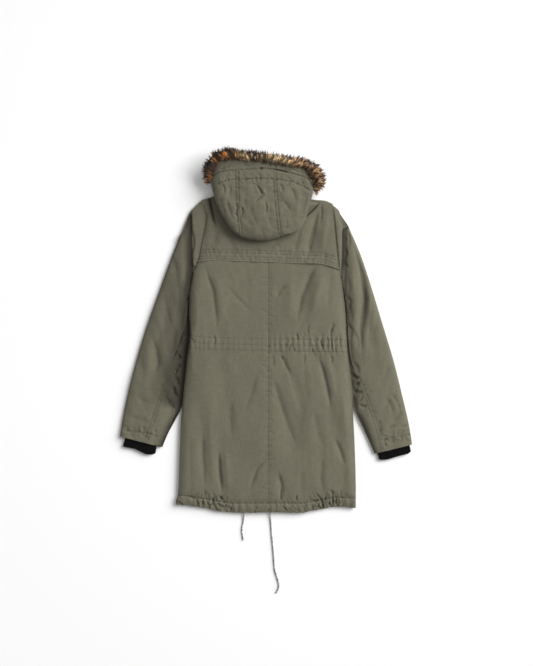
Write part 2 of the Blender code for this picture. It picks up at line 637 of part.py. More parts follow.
class Sleeve:
    """One flattened sleeve: its sections in plan, its height and the way round each ring."""

    def __init__(self, hand, table, seam):
        self.hand = hand
        columns = SleeveRow._fields[1:]
        self.at = {column: smooth(table, "s", column) for column in columns}
        self.back_seam = smooth(seam, "s", "across")

    def section(self, s, across):
        """Plain section at s, with its underarm fold beside the body as far as that goes."""
        x = mix(self.at["out_x"](s), self.at["tuck_x"](s), across)
        y = mix(self.at["out_y"](s), self.at["tuck_y"](s), across)
        beside = half_width[self.hand](self.at["tuck_y"](s)) + BESIDE_GAP
        held = across * (1 - step_up((s - BESIDE_END) / 0.08))
        return x + (beside - self.at["tuck_x"](s)) * held, y

    def plan(self, s, across):
        """Point of the section at s, from the overarm fold (0) to the underarm fold (1)."""
        x, y = self.section(s, across)
        start_x, start_y = self.section(0, across)
        seam_x = half_width[self.hand](start_y) + ARMHOLE_GAP
        fade = 1 - step_up(s / 0.30)
        return x + (seam_x - start_x) * fade, y

    def top(self, x, y, s, across):
        """Height of the upper layer's outer side."""
        near_fold = min(across, 1 - across) * 2
        share = (1 - (1 - near_fold) ** 4) ** 0.42
        width = math.dist(self.section(s, 0), self.section(s, 1))
        slope = mix(INNER_SLOPE, END_SLOPE, step_up((s - BESIDE_END) / 0.15))
        near_body = min((1 - across) * width / slope, 1.0)
        share = min(share, mix(1.0, 1 - (1 - near_body) ** 2, step_up((s - 0.05) / 0.2)))
        height = mix(MIDDLE + 0.0012, self.at["height"](s), share)
        beyond = x - CREASE_X
        width = 0.005 if beyond < 0 else 0.012
        crease = math.exp(-((beyond / width) ** 2)) * step_up((0.345 - y) / 0.02)
        crease *= step_up((y - 0.100) / 0.03) * step_up(s / 0.03)
        height -= CREASE_DEPTH * crease * share
        height += relief(SLEEVE_FOLDS, x, y) * share * step_up((s - 0.1) / 0.1)
        return max(height, MIDDLE + 0.0012)

    def place(self, s, turn, inside=False):
        """Point on a ring: turn runs 0 to 1 over the top and 1 to 2 back underneath."""
        wall = self.at["wall"](s)
        over = turn <= 1
        across = turn if over else 2 - turn
        x, y = self.plan(s, across)
        if over:
            z = self.top(x, y, s, across)
        else:
            near_fold = min(across, 1 - across)
            z = (MIDDLE - 0.0012) * (1 - min(near_fold / 0.045, 1.0)) ** 2
        if inside:
            width = math.dist(self.plan(s, 0), self.plan(s, 1))
            near, far = wall / width, 1 - across
            across += max(near - across / 3, 0) - max(near - far / 3, 0)
            x, y = self.plan(s, across)
            parted = SEAM / 2
            z = max(z - wall, MIDDLE + parted) if over else min(z + wall, MIDDLE - parted)
        return Vector((self.hand * x, y, z))

    def seam_gap(self, s, across):
        """Half the gap at the back seam, as a share of the width across."""
        ahead, behind = min(s + 0.02, 1.0), max(s - 0.02, 0.0)
        over = Vector(self.plan(s, across)) - Vector(self.plan(s, across - 0.01))
        along = Vector(self.plan(ahead, across)) - Vector(self.plan(behind, across))
        clear = abs(over.cross(along.normalized())) / 0.01
        return 0.0003 / clear

    def top_sleeve_turns(self, s):
        """From the front seam round the overarm fold and over the top to the back seam."""
        seam = self.back_seam(s) - self.seam_gap(s, self.back_seam(s))
        under = [2 - FRONT_SEAM, 1.75, 1.93, 1.975]
        return under + [0.0, 0.025, 0.07] + [mix(0.13, seam, i / 10) for i in range(11)]

    def under_sleeve_turns(self, s):
        """From the back seam round the underarm fold to the front seam."""
        seam = self.back_seam(s) + self.seam_gap(s, self.back_seam(s))
        over = [mix(seam, 1.0, share) for share in (0, 0.22, 0.44, 0.64, 0.82, 0.94, 1.0)]
        return over + [1.025, 1.07, 1.16, 1.26, 1.38, 2 - FRONT_SEAM - 0.004]

    def wall(self, name, turns):
        """The wall between the outer and the inner points of these turns of every ring."""
        outer = [[self.place(s, turn) for turn in turns(s)] for s in SLEEVE_RINGS]
        inner = [[self.place(s, turn, True) for turn in turns(s)] for s in SLEEVE_RINGS]
        strip_wall(name, olive, outer, inner)


def make_sleeves():
    for side, sleeve in sleeves.items():
        sleeve.wall(f"sleeve_{side}_top", sleeve.top_sleeve_turns)
        sleeve.wall(f"sleeve_{side}_under", sleeve.under_sleeve_turns)


def make_cuffs():
    """Knitted rib tubes, ribbed outside, plain inside, held in the ends of the sleeves."""
    ribs = round(2 * CUFF_HALF / RIB_PITCH)
    for side, sleeve in sleeves.items():
        fold, tuck = sleeve.place(1.0, 0), sleeve.place(1.0, 1)
        across = (tuck - fold).xy.normalized()
        middle = ((fold + tuck) / 2).xy
        along = Vector((-across.y, across.x))
        along = -along if along.y > 0 else along
        rings, inner = [], []
        for reach in (-CUFF_IN, CUFF_OUT):
            outside, inside = [], []
            for i in range(4 * ribs):
                upper = i < 2 * ribs
                step = i if upper else 4 * ribs - i
                share = mix(-1, 1, step / (2 * ribs))
                crest = RIB_DEPTH if i % 2 else 0.0
                round_off = math.sqrt(1 - 0.7 * share**4)
                half = ((CUFF_HIGH - CUFF_LOW) / 2 - RIB_DEPTH + crest) * round_off
                rise = 0.0 if i in (0, 2 * ribs) else (1 if upper else -1)
                centre = (CUFF_HIGH + CUFF_LOW) / 2
                place = middle + along * reach + across * (share * CUFF_HALF)
                outside.append((*place, centre + rise * half))
                narrow = share * (CUFF_HALF - CUFF_WALL)
                place = middle + along * reach + across * narrow
                inside.append((*place, centre + rise * SEAM))
            rings.append(outside)
            inner.append(inside)
        ringed_solid(f"cuff_{side}", rib_black, rings, inner)


def make_patch():
    """Plain leather patch over the left sleeve's overarm fold, made from the sleeve's points."""
    sleeve = sleeves["left"]
    length = math.dist(sleeve.plan(PATCH_S, 0), sleeve.plan(PATCH_S + 0.01, 0)) / 0.01
    ends = [PATCH_S + k * PATCH_LENGTH / length / 2 for k in (-1, -0.5, 0, 0.5, 1)]
    grids = []
    for lift in (SEAM + 0.0003 + PATCH_THICK, SEAM + 0.0003):
        grid = []
        for s in ends:
            row = []
            for turn in (-0.022, -0.008, 0.0, 0.012, 0.030):
                here = sleeve.place(s, turn % 2)
                outward = Vector((-1, 0.25, 0.5 if turn > 0 else 0)).normalized()
                row.append(here + outward * lift)
            grid.append(row)
        grids.append(grid)
    strip_wall("sleeve_patch", patch_brown, *grids)


# Hood


hood_at = {column: smooth(HOOD, "v", column) for column in HoodRow._fields[1:]}
ROUND = 2 / 3.0  # exponent of the hood's rounded sections


def hood_height(v, inset=0.0):
    """Height over the seams at row v, falling away to the fold at the bottom."""
    middle = hood_at["low"](v) + HOOD_BELOW
    return mix(middle, HOOD_TOP - inset, max(1 - v**2.5, 0.0) ** 0.4)


def hood_side_point(hand, v, angle, inset=0.0):
    """Point of a side panel: angle 0 is at its seam and a right angle at the side fold."""
    side, seam = ("left", "seam_l") if hand == LEFT else ("right", "seam_r")
    start = Vector((hood_at[seam + "_x"](v) + hand * SEAM, hood_at[seam + "_y"](v)))
    end = Vector((hood_at[side + "_x"](v), hood_at[side + "_y"](v)))
    width = (end - start).length
    reach = abs(math.sin(angle)) ** ROUND * (1 - min(inset / width, 0.45))
    low = hood_at["low"](v)
    middle = low + HOOD_BELOW
    level = abs(math.cos(angle))
    if angle <= math.pi / 2:
        z = mix(middle, hood_height(v, inset), level**ROUND)
    else:
        z = mix(middle, low + inset, 1 - (1 - level) ** 3)
    place = start.lerp(end, reach)
    place.y += HOOD_EDGE_BOW[hand] * math.sin(math.pi * reach) * (1 - step_up(v / 0.4))
    return Vector((place.x, place.y, z))


def hood_centre_point(u, v, angle=None, inset=0.0):
    """Point of the centre panel: u runs from its left seam to its right seam."""
    turned = angle is not None
    row = abs(math.sin(angle)) ** ROUND if turned else v
    left = Vector((hood_at["seam_l_x"](row) + SEAM, hood_at["seam_l_y"](row)))
    right = Vector((hood_at["seam_r_x"](row) - SEAM, hood_at["seam_r_y"](row)))
    place = left.lerp(right, u)
    arch = math.sin(math.pi * u)
    place.y -= HOOD_BOTTOM_BOW * arch * step_up((row - 0.6) / 0.4)
    place.y += inset * step_up((row - 0.6) / 0.4)
    low = hood_at["low"](row)
    middle = low + HOOD_BELOW
    if turned and angle > math.pi / 2:
        z = mix(middle, low + inset, 1 - (1 - abs(math.cos(angle))) ** 3)
    else:
        z = hood_height(row, inset) + HOOD_CROWN * arch * (1 - row**3)
    return Vector((place.x, place.y, z))


def make_hood():
    angles = [LIP * i / 13 for i in range(14)]
    for name, hand in (("hood_side_left", LEFT), ("hood_side_right", RIGHT)):
        grids = [
            [[hood_side_point(hand, v, angle, inset) for angle in angles] for v in HOOD_ROWS]
            for inset in (0.0, HOOD_WALL)
        ]
        strip_wall(name, olive, *grids)
    turns = [math.radians(a) for a in (84, 90, 97, 105, 113, 121)]
    grids = []
    for inset in (0.0, HOOD_WALL):
        grid = [[hood_centre_point(u / 8, v, None, inset) for u in range(9)] for v in HOOD_ROWS]
        grid += [[hood_centre_point(u / 8, 1, turn, inset) for u in range(9)] for turn in turns]
        grids.append(grid)
    strip_wall("hood_centre", olive, *grids)


def make_nape():
    """Underside of the hood's pouch, from the back neck seam to the fold at its bottom."""
    inset = 0.006
    rows = (0.42, 0.55, 0.68, 0.80, 0.90)
    outline = [(hood_at["left_x"](v) + inset, hood_at["left_y"](v)) for v in rows]
    outline += [(-0.060, 0.268), (-0.010, 0.262), (0.045, 0.268)]
    outline += [(hood_at["right_x"](v) - inset, hood_at["right_y"](v)) for v in rows[:1:-1]]
    outline += [(0.117, 0.326), (0.150, 0.360), (0.124, 0.367), (0.100, 0.371), (-0.110, 0.371)]
    flat_piece("hood_nape", olive, outline, NAPE_LOW, NAPE_HIGH)


def mouth_arch(share, v, inset):
    """Point on the hood near its mouth, from the left fold over the top to the right."""
    bounds = (0.32, 0.64)
    if share < bounds[0]:
        return hood_side_point(LEFT, v, math.radians(98) * (1 - share / bounds[0]), inset)
    if share > bounds[1]:
        turn = (share - bounds[1]) / (1 - bounds[1])
        return hood_side_point(RIGHT, v, math.radians(98) * turn, inset)
    return hood_centre_point((share - bounds[0]) / (bounds[1] - bounds[0]), v, None, inset)


def make_strip():
    """Cloth strip under the hood's edge, which carries the fur along its outer edge."""
    shares = [i / 30 for i in range(31)]
    grids = []
    for depth in (HOOD_WALL + STRIP_GAP, HOOD_WALL + STRIP_GAP + STRIP_WALL):
        grid = [[mouth_arch(share, STRIP_TUCK, depth) for share in shares]]
        for reach in (0.0, 0.5, 1.0):
            row = []
            for share in shares:
                here = mouth_arch(share, 0, depth)
                forward = max(strip_edge_y(here.x) - here.y, 0.010)
                row.append(here + Vector((0, reach * forward, 0)))
            grid.append(row)
        grids.append(grid)
    strip_wall("fur_strip", olive, *grids)


def make_fur():
    """Outer shape of the fur: an uneven roll with rounded ends along the strip."""
    at = {column: smooth(numbered_fur(), "n", column) for column in FurRow._fields}
    last = len(FUR) - 1
    rings = []
    for i in range(FUR_STATIONS + 1):
        t = i / FUR_STATIONS * last
        centre = Vector([at[axis](t) for axis in "xyz"])
        ahead = Vector([at[axis](min(t + 0.1, last)) - at[axis](max(t - 0.1, 0)) for axis in "xyz"])
        out = Vector((-ahead.y, ahead.x, 0)).normalized()
        up = ahead.cross(out).normalized()
        up = -up if up.z < 0 else up
        end = min(i, FUR_STATIONS - i)
        size = (0.45, 0.85)[end] if end < 2 else 1.0
        ring = []
        for k, row in enumerate(FUR_SECTION):
            swell = 1 - FUR_UNEVEN * (0.5 + 0.5 * math.sin(2.4 * i + 2.1 * k) * math.cos(1.3 * i))
            across = at["across"](t) * (row.out - row.under * max(at["under"](t), 0))
            rise = at["rise"](t) * row.up
            ring.append(centre + (out * across + up * rise) * size * swell)
        rings.append(ring)
    ringed_solid("fur_trim", fur_brown, rings)


def numbered_fur():
    """The rows of the fur with their number along it."""
    row_type = namedtuple("NumberedFur", ("n",) + FurRow._fields)
    return [row_type(n, *row) for n, row in enumerate(FUR)]


# Drawcord


def make_cord(name, route):
    """One free end of the hem cord, from the hem edge on a smooth curve through its route."""
    route = (route[0]._replace(y=hem_y(route[0].x) - SEAM),) + route[1:]
    numbered = namedtuple("NumberedCord", ("n",) + CordPoint._fields)
    rows = [numbered(n, *point) for n, point in enumerate(route)]
    at = [smooth(rows, "n", axis) for axis in "xyz"]
    length = sum(math.dist(a, b) for a, b in zip(route, route[1:]))
    count = round(length / CORD_STEP) + 1
    curve = bpy.data.curves.new(name, "CURVE")
    curve.dimensions = "3D"
    curve.bevel_depth = CORD_RADIUS
    curve.bevel_resolution = 2
    curve.use_fill_caps = True
    spline = curve.splines.new("POLY")
    spline.points.add(count - 1)
    for i, point in enumerate(spline.points):
        t = i / (count - 1) * (len(route) - 1)
        point.co = (*(axis(t) for axis in at), 1)
    add_object(name, curve, cord_grey)


for old in list(bpy.data.objects):
    bpy.data.objects.remove(old)
parts = bpy.data.collections.new("parka")
bpy.context.scene.collection.children.link(parts)
olive = material("olive padded cloth", OLIVE)
rib_black = material("black rib knit", RIB_BLACK)
fur_brown = material("brown faux fur", FUR_BROWN)
cord_grey = material("grey braided cord", CORD_GREY)
zip_black = material("black zip", ZIP_BLACK)
patch_brown = material("brown leather", PATCH_BROWN)
sleeves = {
    "left": Sleeve(LEFT, LEFT_SLEEVE, LEFT_SEAM),
    "right": Sleeve(RIGHT, RIGHT_SLEEVE, RIGHT_SEAM),
}

make_back()
make_yoke()
make_fronts()
make_collar()
make_zip()
make_sleeves()
make_cuffs()
make_patch()
make_hood()
make_nape()
make_strip()
make_fur()
make_cord("hem_cord_left", LEFT_CORD)
make_cord("hem_cord_right", RIGHT_CORD)
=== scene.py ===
import math

import bmesh
import bpy
import numpy as np
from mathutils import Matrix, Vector
from mathutils.bvhtree import BVHTree


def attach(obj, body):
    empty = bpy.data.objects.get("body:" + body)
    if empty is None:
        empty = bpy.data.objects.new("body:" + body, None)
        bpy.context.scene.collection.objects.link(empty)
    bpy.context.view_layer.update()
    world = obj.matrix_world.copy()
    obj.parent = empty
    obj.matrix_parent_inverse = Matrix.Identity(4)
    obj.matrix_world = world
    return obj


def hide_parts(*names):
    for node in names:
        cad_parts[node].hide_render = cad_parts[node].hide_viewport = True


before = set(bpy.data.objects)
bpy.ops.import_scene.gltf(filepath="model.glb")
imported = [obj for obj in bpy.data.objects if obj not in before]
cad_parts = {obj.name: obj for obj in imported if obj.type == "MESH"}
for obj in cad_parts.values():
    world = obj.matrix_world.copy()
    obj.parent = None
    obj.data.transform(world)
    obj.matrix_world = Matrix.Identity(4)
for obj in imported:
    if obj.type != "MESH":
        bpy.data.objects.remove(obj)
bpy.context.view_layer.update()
print("frame loaded")

# Small helpers


def linear(hexColour):
    # sRGB hex to the linear values that the shaders take
    channels = [int(hexColour[i:i + 2], 16) / 255 for i in (1, 3, 5)]
    return [c / 12.92 if c <= 0.04045 else ((c + 0.055) / 1.055) ** 2.4 for c in channels]


def metres(value):
    # millimetres to metres, for a number or for nested tables of them
    if isinstance(value, dict):
        return {key: metres(inner) for key, inner in value.items()}
    if isinstance(value, (list, tuple)):
        return type(value)(metres(inner) for inner in value)
    return round(value / 1000, 6)


def addObject(name, data):
    item = bpy.data.objects.new(name, data)
    bpy.context.scene.collection.objects.link(item)
    return item


def addNode(tree, kind, settings=(), **links):
    # adds one node; settings go to its own fields, numbers and sockets in links go to its inputs
    node = tree.nodes.new(kind)
    for field, value in dict(settings).items():
        setattr(node, field, value)
    for name, value in links.items():
        key = int(name[1:]) if name[1:].isdigit() else name.replace("_", " ")
        if isinstance(value, bpy.types.NodeSocket):
            tree.links.new(value, node.inputs[key])
        else:
            node.inputs[key].default_value = value
    return node


def newMaterial(name, colour, roughness):
    material = bpy.data.materials.new(name)
    material.use_nodes = True
    shader = material.node_tree.nodes["Principled BSDF"]
    shader.inputs["Base Color"].default_value = opaque(colour)
    shader.inputs["Roughness"].default_value = roughness
    return material, material.node_tree, shader


def opaque(hexColour):
    return (*linear(hexColour), 1)


def ownPlace(tree):
    return addNode(tree, "ShaderNodeTexCoord").outputs["Object"]


def addBump(tree, shader, height, strength, distance):
    bump = addNode(tree, "ShaderNodeBump", {}, Strength=strength, Distance=distance,
                   Height=height)
    tree.links.new(bump.outputs[0], shader.inputs["Normal"])


def selectOnly(piece):
    if bpy.context.object and bpy.context.object.mode != "OBJECT":
        bpy.ops.object.mode_set(mode="OBJECT")
    bpy.ops.object.select_all(action="DESELECT")
    piece.select_set(True)
    bpy.context.view_layer.objects.active = piece


def applyModifier(piece, name, kind, **settings):
    selectOnly(piece)
    modifier = piece.modifiers.new(name, kind)
    for field, value in settings.items():
        setattr(modifier, field, value)
    bpy.ops.object.modifier_apply(modifier=name)


def meshPiece(name, points, faces):
    mesh = bpy.data.meshes.new(name)
    mesh.from_pydata([tuple(p) for p in points], [], faces)
    mesh.update()
    return addObject(name, mesh)


def faceOutwards(piece):
    bm = bmesh.new()
    bm.from_mesh(piece.data)
    bmesh.ops.recalc_face_normals(bm, faces=bm.faces)
    bm.to_mesh(piece.data)
    bm.free()
    piece.data.shade_smooth()


def readPoints(piece):
    mesh = piece.data
    points = np.empty(len(mesh.vertices) * 3)
    normals = np.empty(len(mesh.vertices) * 3)
    mesh.vertices.foreach_get("co", points)
    mesh.vertex_normals.foreach_get("vector", normals)
    return points.reshape(-1, 3), normals.reshape(-1, 3)


def writePoints(piece, points):
    piece.data.vertices.foreach_set("co", np.asarray(points, dtype=np.float32).ravel())
    piece.data.update()


def smoothStep(t):
    t = np.clip(t, 0, 1)
    return t * t * (3 - 2 * t)


def bell(q):
    # 1 in the middle, and nearly 0 from 2 on
    return np.exp(-(q ** 2))


def spot(x, y, place, wide, tall):
    # a bell over one place
    return np.exp(-((x - place[0]) / wide) ** 2 - ((y - place[1]) / tall) ** 2)


def unit(vectors):
    return vectors / np.linalg.norm(vectors, axis=-1)[..., None]


def runAlong(path):
    # metres from a path's start to each of its points
    return np.concatenate([[0], np.cumsum(np.linalg.norm(np.diff(path, axis=0), axis=1))])


def cloud(x, y, size, seed):
    # soft random hills and hollows between -1 and 1, about one size across; they repeat
    # after 64 sizes, and the offsets keep the repeat away from the middle
    cells = 64
    table = np.random.default_rng(seed).uniform(-1, 1, (cells, cells))
    u, v = x / size + 31.7, y / size + 17.3
    i, j = np.floor(u).astype(int), np.floor(v).astype(int)
    a, b = smoothStep(u - i), smoothStep(v - j)
    corner = lambda p, q: table[(i + p) % cells, (j + q) % cells]
    return ((corner(0, 0) * (1 - a) + corner(1, 0) * a) * (1 - b)
            + (corner(0, 1) * (1 - a) + corner(1, 1) * a) * b)


def alongPath(x, y, path):
    # distance from a path, share of the way along it, and the side that a point lies on
    best = np.full(x.shape, 9.0)
    share = np.zeros(x.shape)
    side = np.zeros(x.shape)
    legs = [math.dist(a, b) for a, b in zip(path, path[1:])]
    total, done = sum(legs), 0.0
    for (ax, ay), (bx, by), leg in zip(path, path[1:], legs):
        dx, dy = (bx - ax) / leg, (by - ay) / leg
        t = np.clip((x - ax) * dx + (y - ay) * dy, 0, leg)
        away = np.hypot(x - ax - dx * t, y - ay - dy * t)
        near = away < best
        best = np.where(near, away, best)
        share = np.where(near, (done + t) / total, share)
        side = np.where(near, np.sign((x - ax) * dy - (y - ay) * dx), side)
        done += leg
    return best, share, side


def creasesFrom(table):
    # rows of millimetres: a crease's width and height, then x and y of its path's points
    return [(list(zip(row[2::2], row[3::2])), row[0], row[1]) for row in metres(table)]


def creaseRelief(x, y, creases):
    # each crease is a path with its width and height, below zero for a trough, and True
    # where it starts at full depth; low shoulders stand beside it, and its ends fade out
    height = np.zeros(x.shape)
    for path, width, rise, *tight in creases:
        reach = 3.6 * width
        xs, ys = [p[0] for p in path], [p[1] for p in path]
        near = np.flatnonzero((x > min(xs) - reach) & (x < max(xs) + reach)
                              & (y > min(ys) - reach) & (y < max(ys) + reach))
        if not len(near):
            continue
        away, share, side = alongPath(x[near], y[near], path)
        q = away / (width * np.where(side > 0, 1.25, 0.80))
        start = 1.0 if tight else smoothStep(share / 0.3)
        ends = 0.10 + 0.90 * start * smoothStep((1 - share) / 0.35)
        q *= 1.7 - 0.7 * ends
        height[near] += rise * (1 - 0.30 * q * q) * np.exp(-(q * q + 0.03) ** 0.72) * ends
    return height


def pointOn(row, run, s):
    # the place at s metres along a row, and the row's direction there
    at = [float(np.interp(s, run, [p[k] for p in row])) for k in range(2)]
    on = [float(np.interp(s + 0.002, run, [p[k] for p in row])) for k in range(2)]
    back = [float(np.interp(s - 0.002, run, [p[k] for p in row])) for k in range(2)]
    size = math.dist(on, back)
    return at[0], at[1], (on[0] - back[0]) / size, (on[1] - back[1]) / size


def puckers(row, look, seed, sides=(1, -1), pull=None):
    # short troughs that start on a stitched row and run off to one side of it; pull gives
    # x or y places and how strongly the row is drawn up there
    random = np.random.default_rng(seed)
    run = np.concatenate([[0], np.cumsum([math.dist(a, b) for a, b in zip(row, row[1:])])])
    creases = []
    for side in sides:
        s = random.uniform(0.2, 1.0) * look["step"]
        while s < run[-1]:
            x, y, dx, dy = pointOn(row, run, s)
            size = 1.0 if pull is None else float(np.interp(x, *pull))
            reach = random.uniform(*look["reach"]) * (0.5 + 0.5 * size)
            lean = random.normal(0, look["lean"])
            curl = random.normal(0, look["lean"] * 0.7)
            path = [(x, y)]
            for part, bend in ((0.45, lean * 0.35), (1.0, lean + curl)):
                path.append((x + reach * (-dy * side * part + dx * bend),
                             y + reach * (dx * side * part + dy * bend)))
            depth = -random.uniform(*look["depth"]) * size
            creases.append((path, random.uniform(*look["width"]), depth, True))
            s += look["step"] * random.uniform(0.5, 1.5) * (1.5 - 0.5 * size)
    return creases


def crinkle(x, y, size, seed):
    # sharp little ridges between soft hollows, as in crushed cloth, from -1 to 1
    wx = x + 0.5 * size * cloud(x, y, size * 1.7, seed + 1)
    wy = y + 0.5 * size * cloud(x, y, size * 1.7, seed + 2)
    return 1 - 2 * np.abs(cloud(wx, wy, size, seed)) ** 0.7


# Camera, straight above the back

view = {"distance": 4.0, "x": 0.0014, "y": -0.0091, "tall": 1.898}
cameraData = bpy.data.cameras.new("viewCamera")
camera = addObject("viewCamera", cameraData)
camera.location = (view["x"], view["y"], view["distance"])
cameraData.lens = cameraData.sensor_width * view["distance"] / view["tall"]
bpy.context.scene.camera = camera

# Hem drawcord: two free ends of limp braided cord, bare at their tips

cordLook = {
    "diameter": 0.0034, "sides": 10, "step": 0.0022, "braidPitch": 0.0052, "bumps": 0.00008,
    "tip": (1.0, 1.12, 1.16, 0.7),  # the heat-sealed end's radii, as shares
    "base": "#8e8782", "dark": "#5f5552", "grey": "#a39c96", "pale": "#d6d2cc",
}
cordRoutes = metres({
    "hem_cord_left": [
        (-63, -519.8, 6.4), (-63.2, -529, 4.8), (-64, -538, 2.8), (-65.5, -550, 2),
        (-68.2, -563, 2), (-68.4, -576, 2), (-66.8, -588, 2), (-65, -600, 2)],
    "hem_cord_right": [
        (11.4, -519, 6.4), (12, -529, 4.8), (12.8, -539, 2.8), (14.2, -560, 2), (16.2, -585, 2),
        (19, -615, 2), (21.6, -645, 2), (23.2, -668, 2), (25.2, -686, 2), (31.2, -706, 2),
        (36.2, -724, 2), (34.5, -738, 2), (28.5, -750, 2)],
})


def smoothRoute(route, step):
    route = np.array(route)
    slope = np.gradient(route, axis=0)
    length = np.linalg.norm(np.diff(route, axis=0), axis=1).sum()
    t = np.linspace(0, len(route) - 1, int(length / step) + 1)
    i = np.minimum(t.astype(int), len(route) - 2)
    f = (t - i)[:, None]
    return ((1 + 2 * f) * (1 - f) ** 2 * route[i] + f * (1 - f) ** 2 * slope[i]
            + f * f * (3 - 2 * f) * route[i + 1] - f * f * (1 - f) * slope[i + 1])


def tubeAlong(name, path, radii, sides):
    # a closed tube with a UV map: turns round it, and metres along it
    ahead = unit(np.gradient(path, axis=0))
    across = unit(np.cross(ahead, (0, 0, 1)))
    up = np.cross(across, ahead)
    angles = np.arange(sides) * 2 * math.pi / sides
    rings = (path[:, None] + radii[:, None, None]
             * (across[:, None] * np.cos(angles)[None, :, None]
                + up[:, None] * np.sin(angles)[None, :, None]))
    points = list(rings.reshape(-1, 3)) + [path[0], path[-1]]
    faces = []
    for i in range(len(path) - 1):
        for k in range(sides):
            j = (k + 1) % sides
            faces.append((i * sides + k, i * sides + j, (i + 1) * sides + j, (i + 1) * sides + k))
    last = (len(path) - 1) * sides
    for k in range(sides):
        j = (k + 1) % sides
        faces.append((len(points) - 2, j, k))
        faces.append((len(points) - 1, last + k, last + j))
    piece = meshPiece(name, points, faces)
    uv = piece.data.uv_layers.new(name="braid")
    run = runAlong(path)
    for polygon in piece.data.polygons:
        for loop in polygon.loop_indices:
            v = piece.data.loops[loop].vertex_index
            ring, k = min(v // sides, len(path) - 1), v % sides
            turn = 1.0 if k == 0 and any(piece.data.loops[m].vertex_index % sides == sides - 1
                                         for m in polygon.loop_indices) else k / sides
            uv.data[loop].uv = (turn, run[ring])
    faceOutwards(piece)
    return piece


cords = []
for name, route in cordRoutes.items():
    path = smoothRoute(route, cordLook["step"])
    radii = np.full(len(path), cordLook["diameter"] / 2)
    radii += cordLook["bumps"] * np.sin(np.arange(len(path)) * 2.1)  # the braid's own
    radii[-len(cordLook["tip"]):] *= cordLook["tip"]
    cord = tubeAlong(name.replace("hem_", ""), path, radii, cordLook["sides"])
    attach(cord, "root")
    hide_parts(name)
    cords.append(cord)
print("cords laid")

# Shapes that several pieces share; tables inside metres() are in millimetres. Hands are -1 for
# the left and 1 for the right, and x times hand points outwards

hands = {"left": -1, "right": 1}

bodyLines = metres({
    "yokeSeam": [
        (-205, 192), (-168, 196), (-74, 194), (14, 192), (99, 188), (156, 187), (207, 172)],
    "hem": [
        (-256, -496), (-207, -501), (-149, -512), (-100, -519), (-40, -519.5), (20, -518.5),
        (99, -519.5), (137, -514), (194, -503), (260, -506)],
    "centreBack": [(6, 190), (6, -517)],
    "waist": [(-222, -35), (-120, -40), (0, -43), (120, -45), (230, -46)],
})

# how far the back reaches to each side of the middle, at a height
bodySides = metres({
    "y": [-520, -428, -342, -257, -171, -57, -14, 50, 114, 175, 237, 300, 355, 385],
    -1: [252, 248, 245, 242, 234, 222, 217, 218.5, 216, 203, 193, 182, 181, 182],
    1: [255, 255, 252.5, 248.5, 244, 231, 228, 226, 219, 209, 203, 197, 190, 188],
})
# how far the left armhole seam moves inwards, at a height
armholeShift = metres(([165, 200, 208.5, 324.3, 345, 360], [0, 7, 8.5, 12, 6, 0]))
# where the sleeve's cloth folds down outside the armhole seam: heights, and how far out
sleeveFold = metres({
    -1: (
        [150, 175, 190, 205.7, 274.3, 324.3, 333, 336, 400],
        [208.5, 206.8, 207.8, 209.1, 209.5, 210.5, 211.8, 250, 250]),
    1: ([140, 169, 205, 280, 289, 293, 400], [213, 213.8, 215, 216.5, 220, 242, 242]),
})
# how far the right shoulder's edge moves inwards, at a height
shoulderPush = metres(([296.3, 316.1, 330.2, 340.1, 352.8], [0, 5.7, 7.4, 2, 0]))
# the right shoulder's edge, along which a shadow line is painted
shoulderLine = metres([(206, 338.7), (220, 316), (233.5, 292)])  # of the right shoulder
# where the sleeve leaves the back's side: heights, and how far out
sleeveInner = metres({
    -1: ([-343, -326, -300, -274, -249, -225], [310.7, 293.6, 282.2, 270.8, 256.5, 239]),
    1: ([-351, -326, -300, -274, -249, -231], [307.8, 296.4, 285, 273.6, 262.2, 247]),
})


def bodySide(y, hand):
    side = np.interp(y, bodySides["y"], bodySides[hand])
    return side - np.interp(y, *armholeShift) if hand < 0 else side


def armholeDrift(x, y):
    # the left armhole seam lies further in than the sleeve's fold
    out = -x - np.interp(y, bodySides["y"], bodySides[-1])
    outwards, inwards = 0.016, 0.024  # where it fades out
    return np.interp(y, *armholeShift) * bell(out / np.where(out > 0, outwards, inwards))


def besideBody(x, y, hand):
    # distance outwards from the back's side edge, below zero inside it
    return x * hand - bodySide(y, hand)


def besideInner(x, y, hand):
    # distance outwards from the sleeve's inner edge
    heights, out = sleeveInner[hand]
    free = np.interp(y, heights, out, right=0)
    fold = np.interp(y, *sleeveFold[hand], left=0, right=0)
    return x * hand - np.maximum(np.maximum(free, fold), bodySide(y, hand))


def lineHeight(path, x):
    return np.interp(x, [p[0] for p in path], [p[1] for p in path])


def shifted(path, dy, left=None, right=None):
    # the same line moved up or down, cut to a stretch from left to right
    left = path[0][0] if left is None else left
    right = path[-1][0] if right is None else right
    inner = [p[0] for p in path if left < p[0] < right]
    return [(x, float(lineHeight(path, x)) + dy) for x in [left, *inner, right]]


# Stitched lines: each is a row of topstitching, pressed into the cloth

yokeSteps = (0.0060, 0.0130, 0.0240, 0.0320)  # of the rows above the yoke's seam
waistSteps = (0.017, 0.0, -0.017)  # of the rows of the waist's channels
hemSteps = (0.0265, 0.0045)  # of the rows above the hem's edge
stitchRows = {
    "yoke": [shifted(bodyLines["yokeSeam"], dy, -0.198, 0.203) for dy in yokeSteps],
    "centreBack": [[(0.0125, 0.185), (0.0125, -0.05), (0.0122, -0.512)],
                   [(-0.0005, 0.185), (-0.0005, -0.05), (-0.0002, -0.512)]],
    "waist": [shifted(bodyLines["waist"], dy) for dy in waistSteps],
    "hem": [shifted(bodyLines["hem"], dy, -0.246, 0.250) for dy in hemSteps],
    "armholes": [[(-0.176, 0.352), (-0.181, 0.290), (-0.186, 0.235), (-0.197, 0.195)],
                 [(0.194, 0.300), (0.1975, 0.260), (0.203, 0.210), (0.207, 0.180)]],
}

# Creases, in millimetres: width, height (below zero for a trough), and the path's x and y

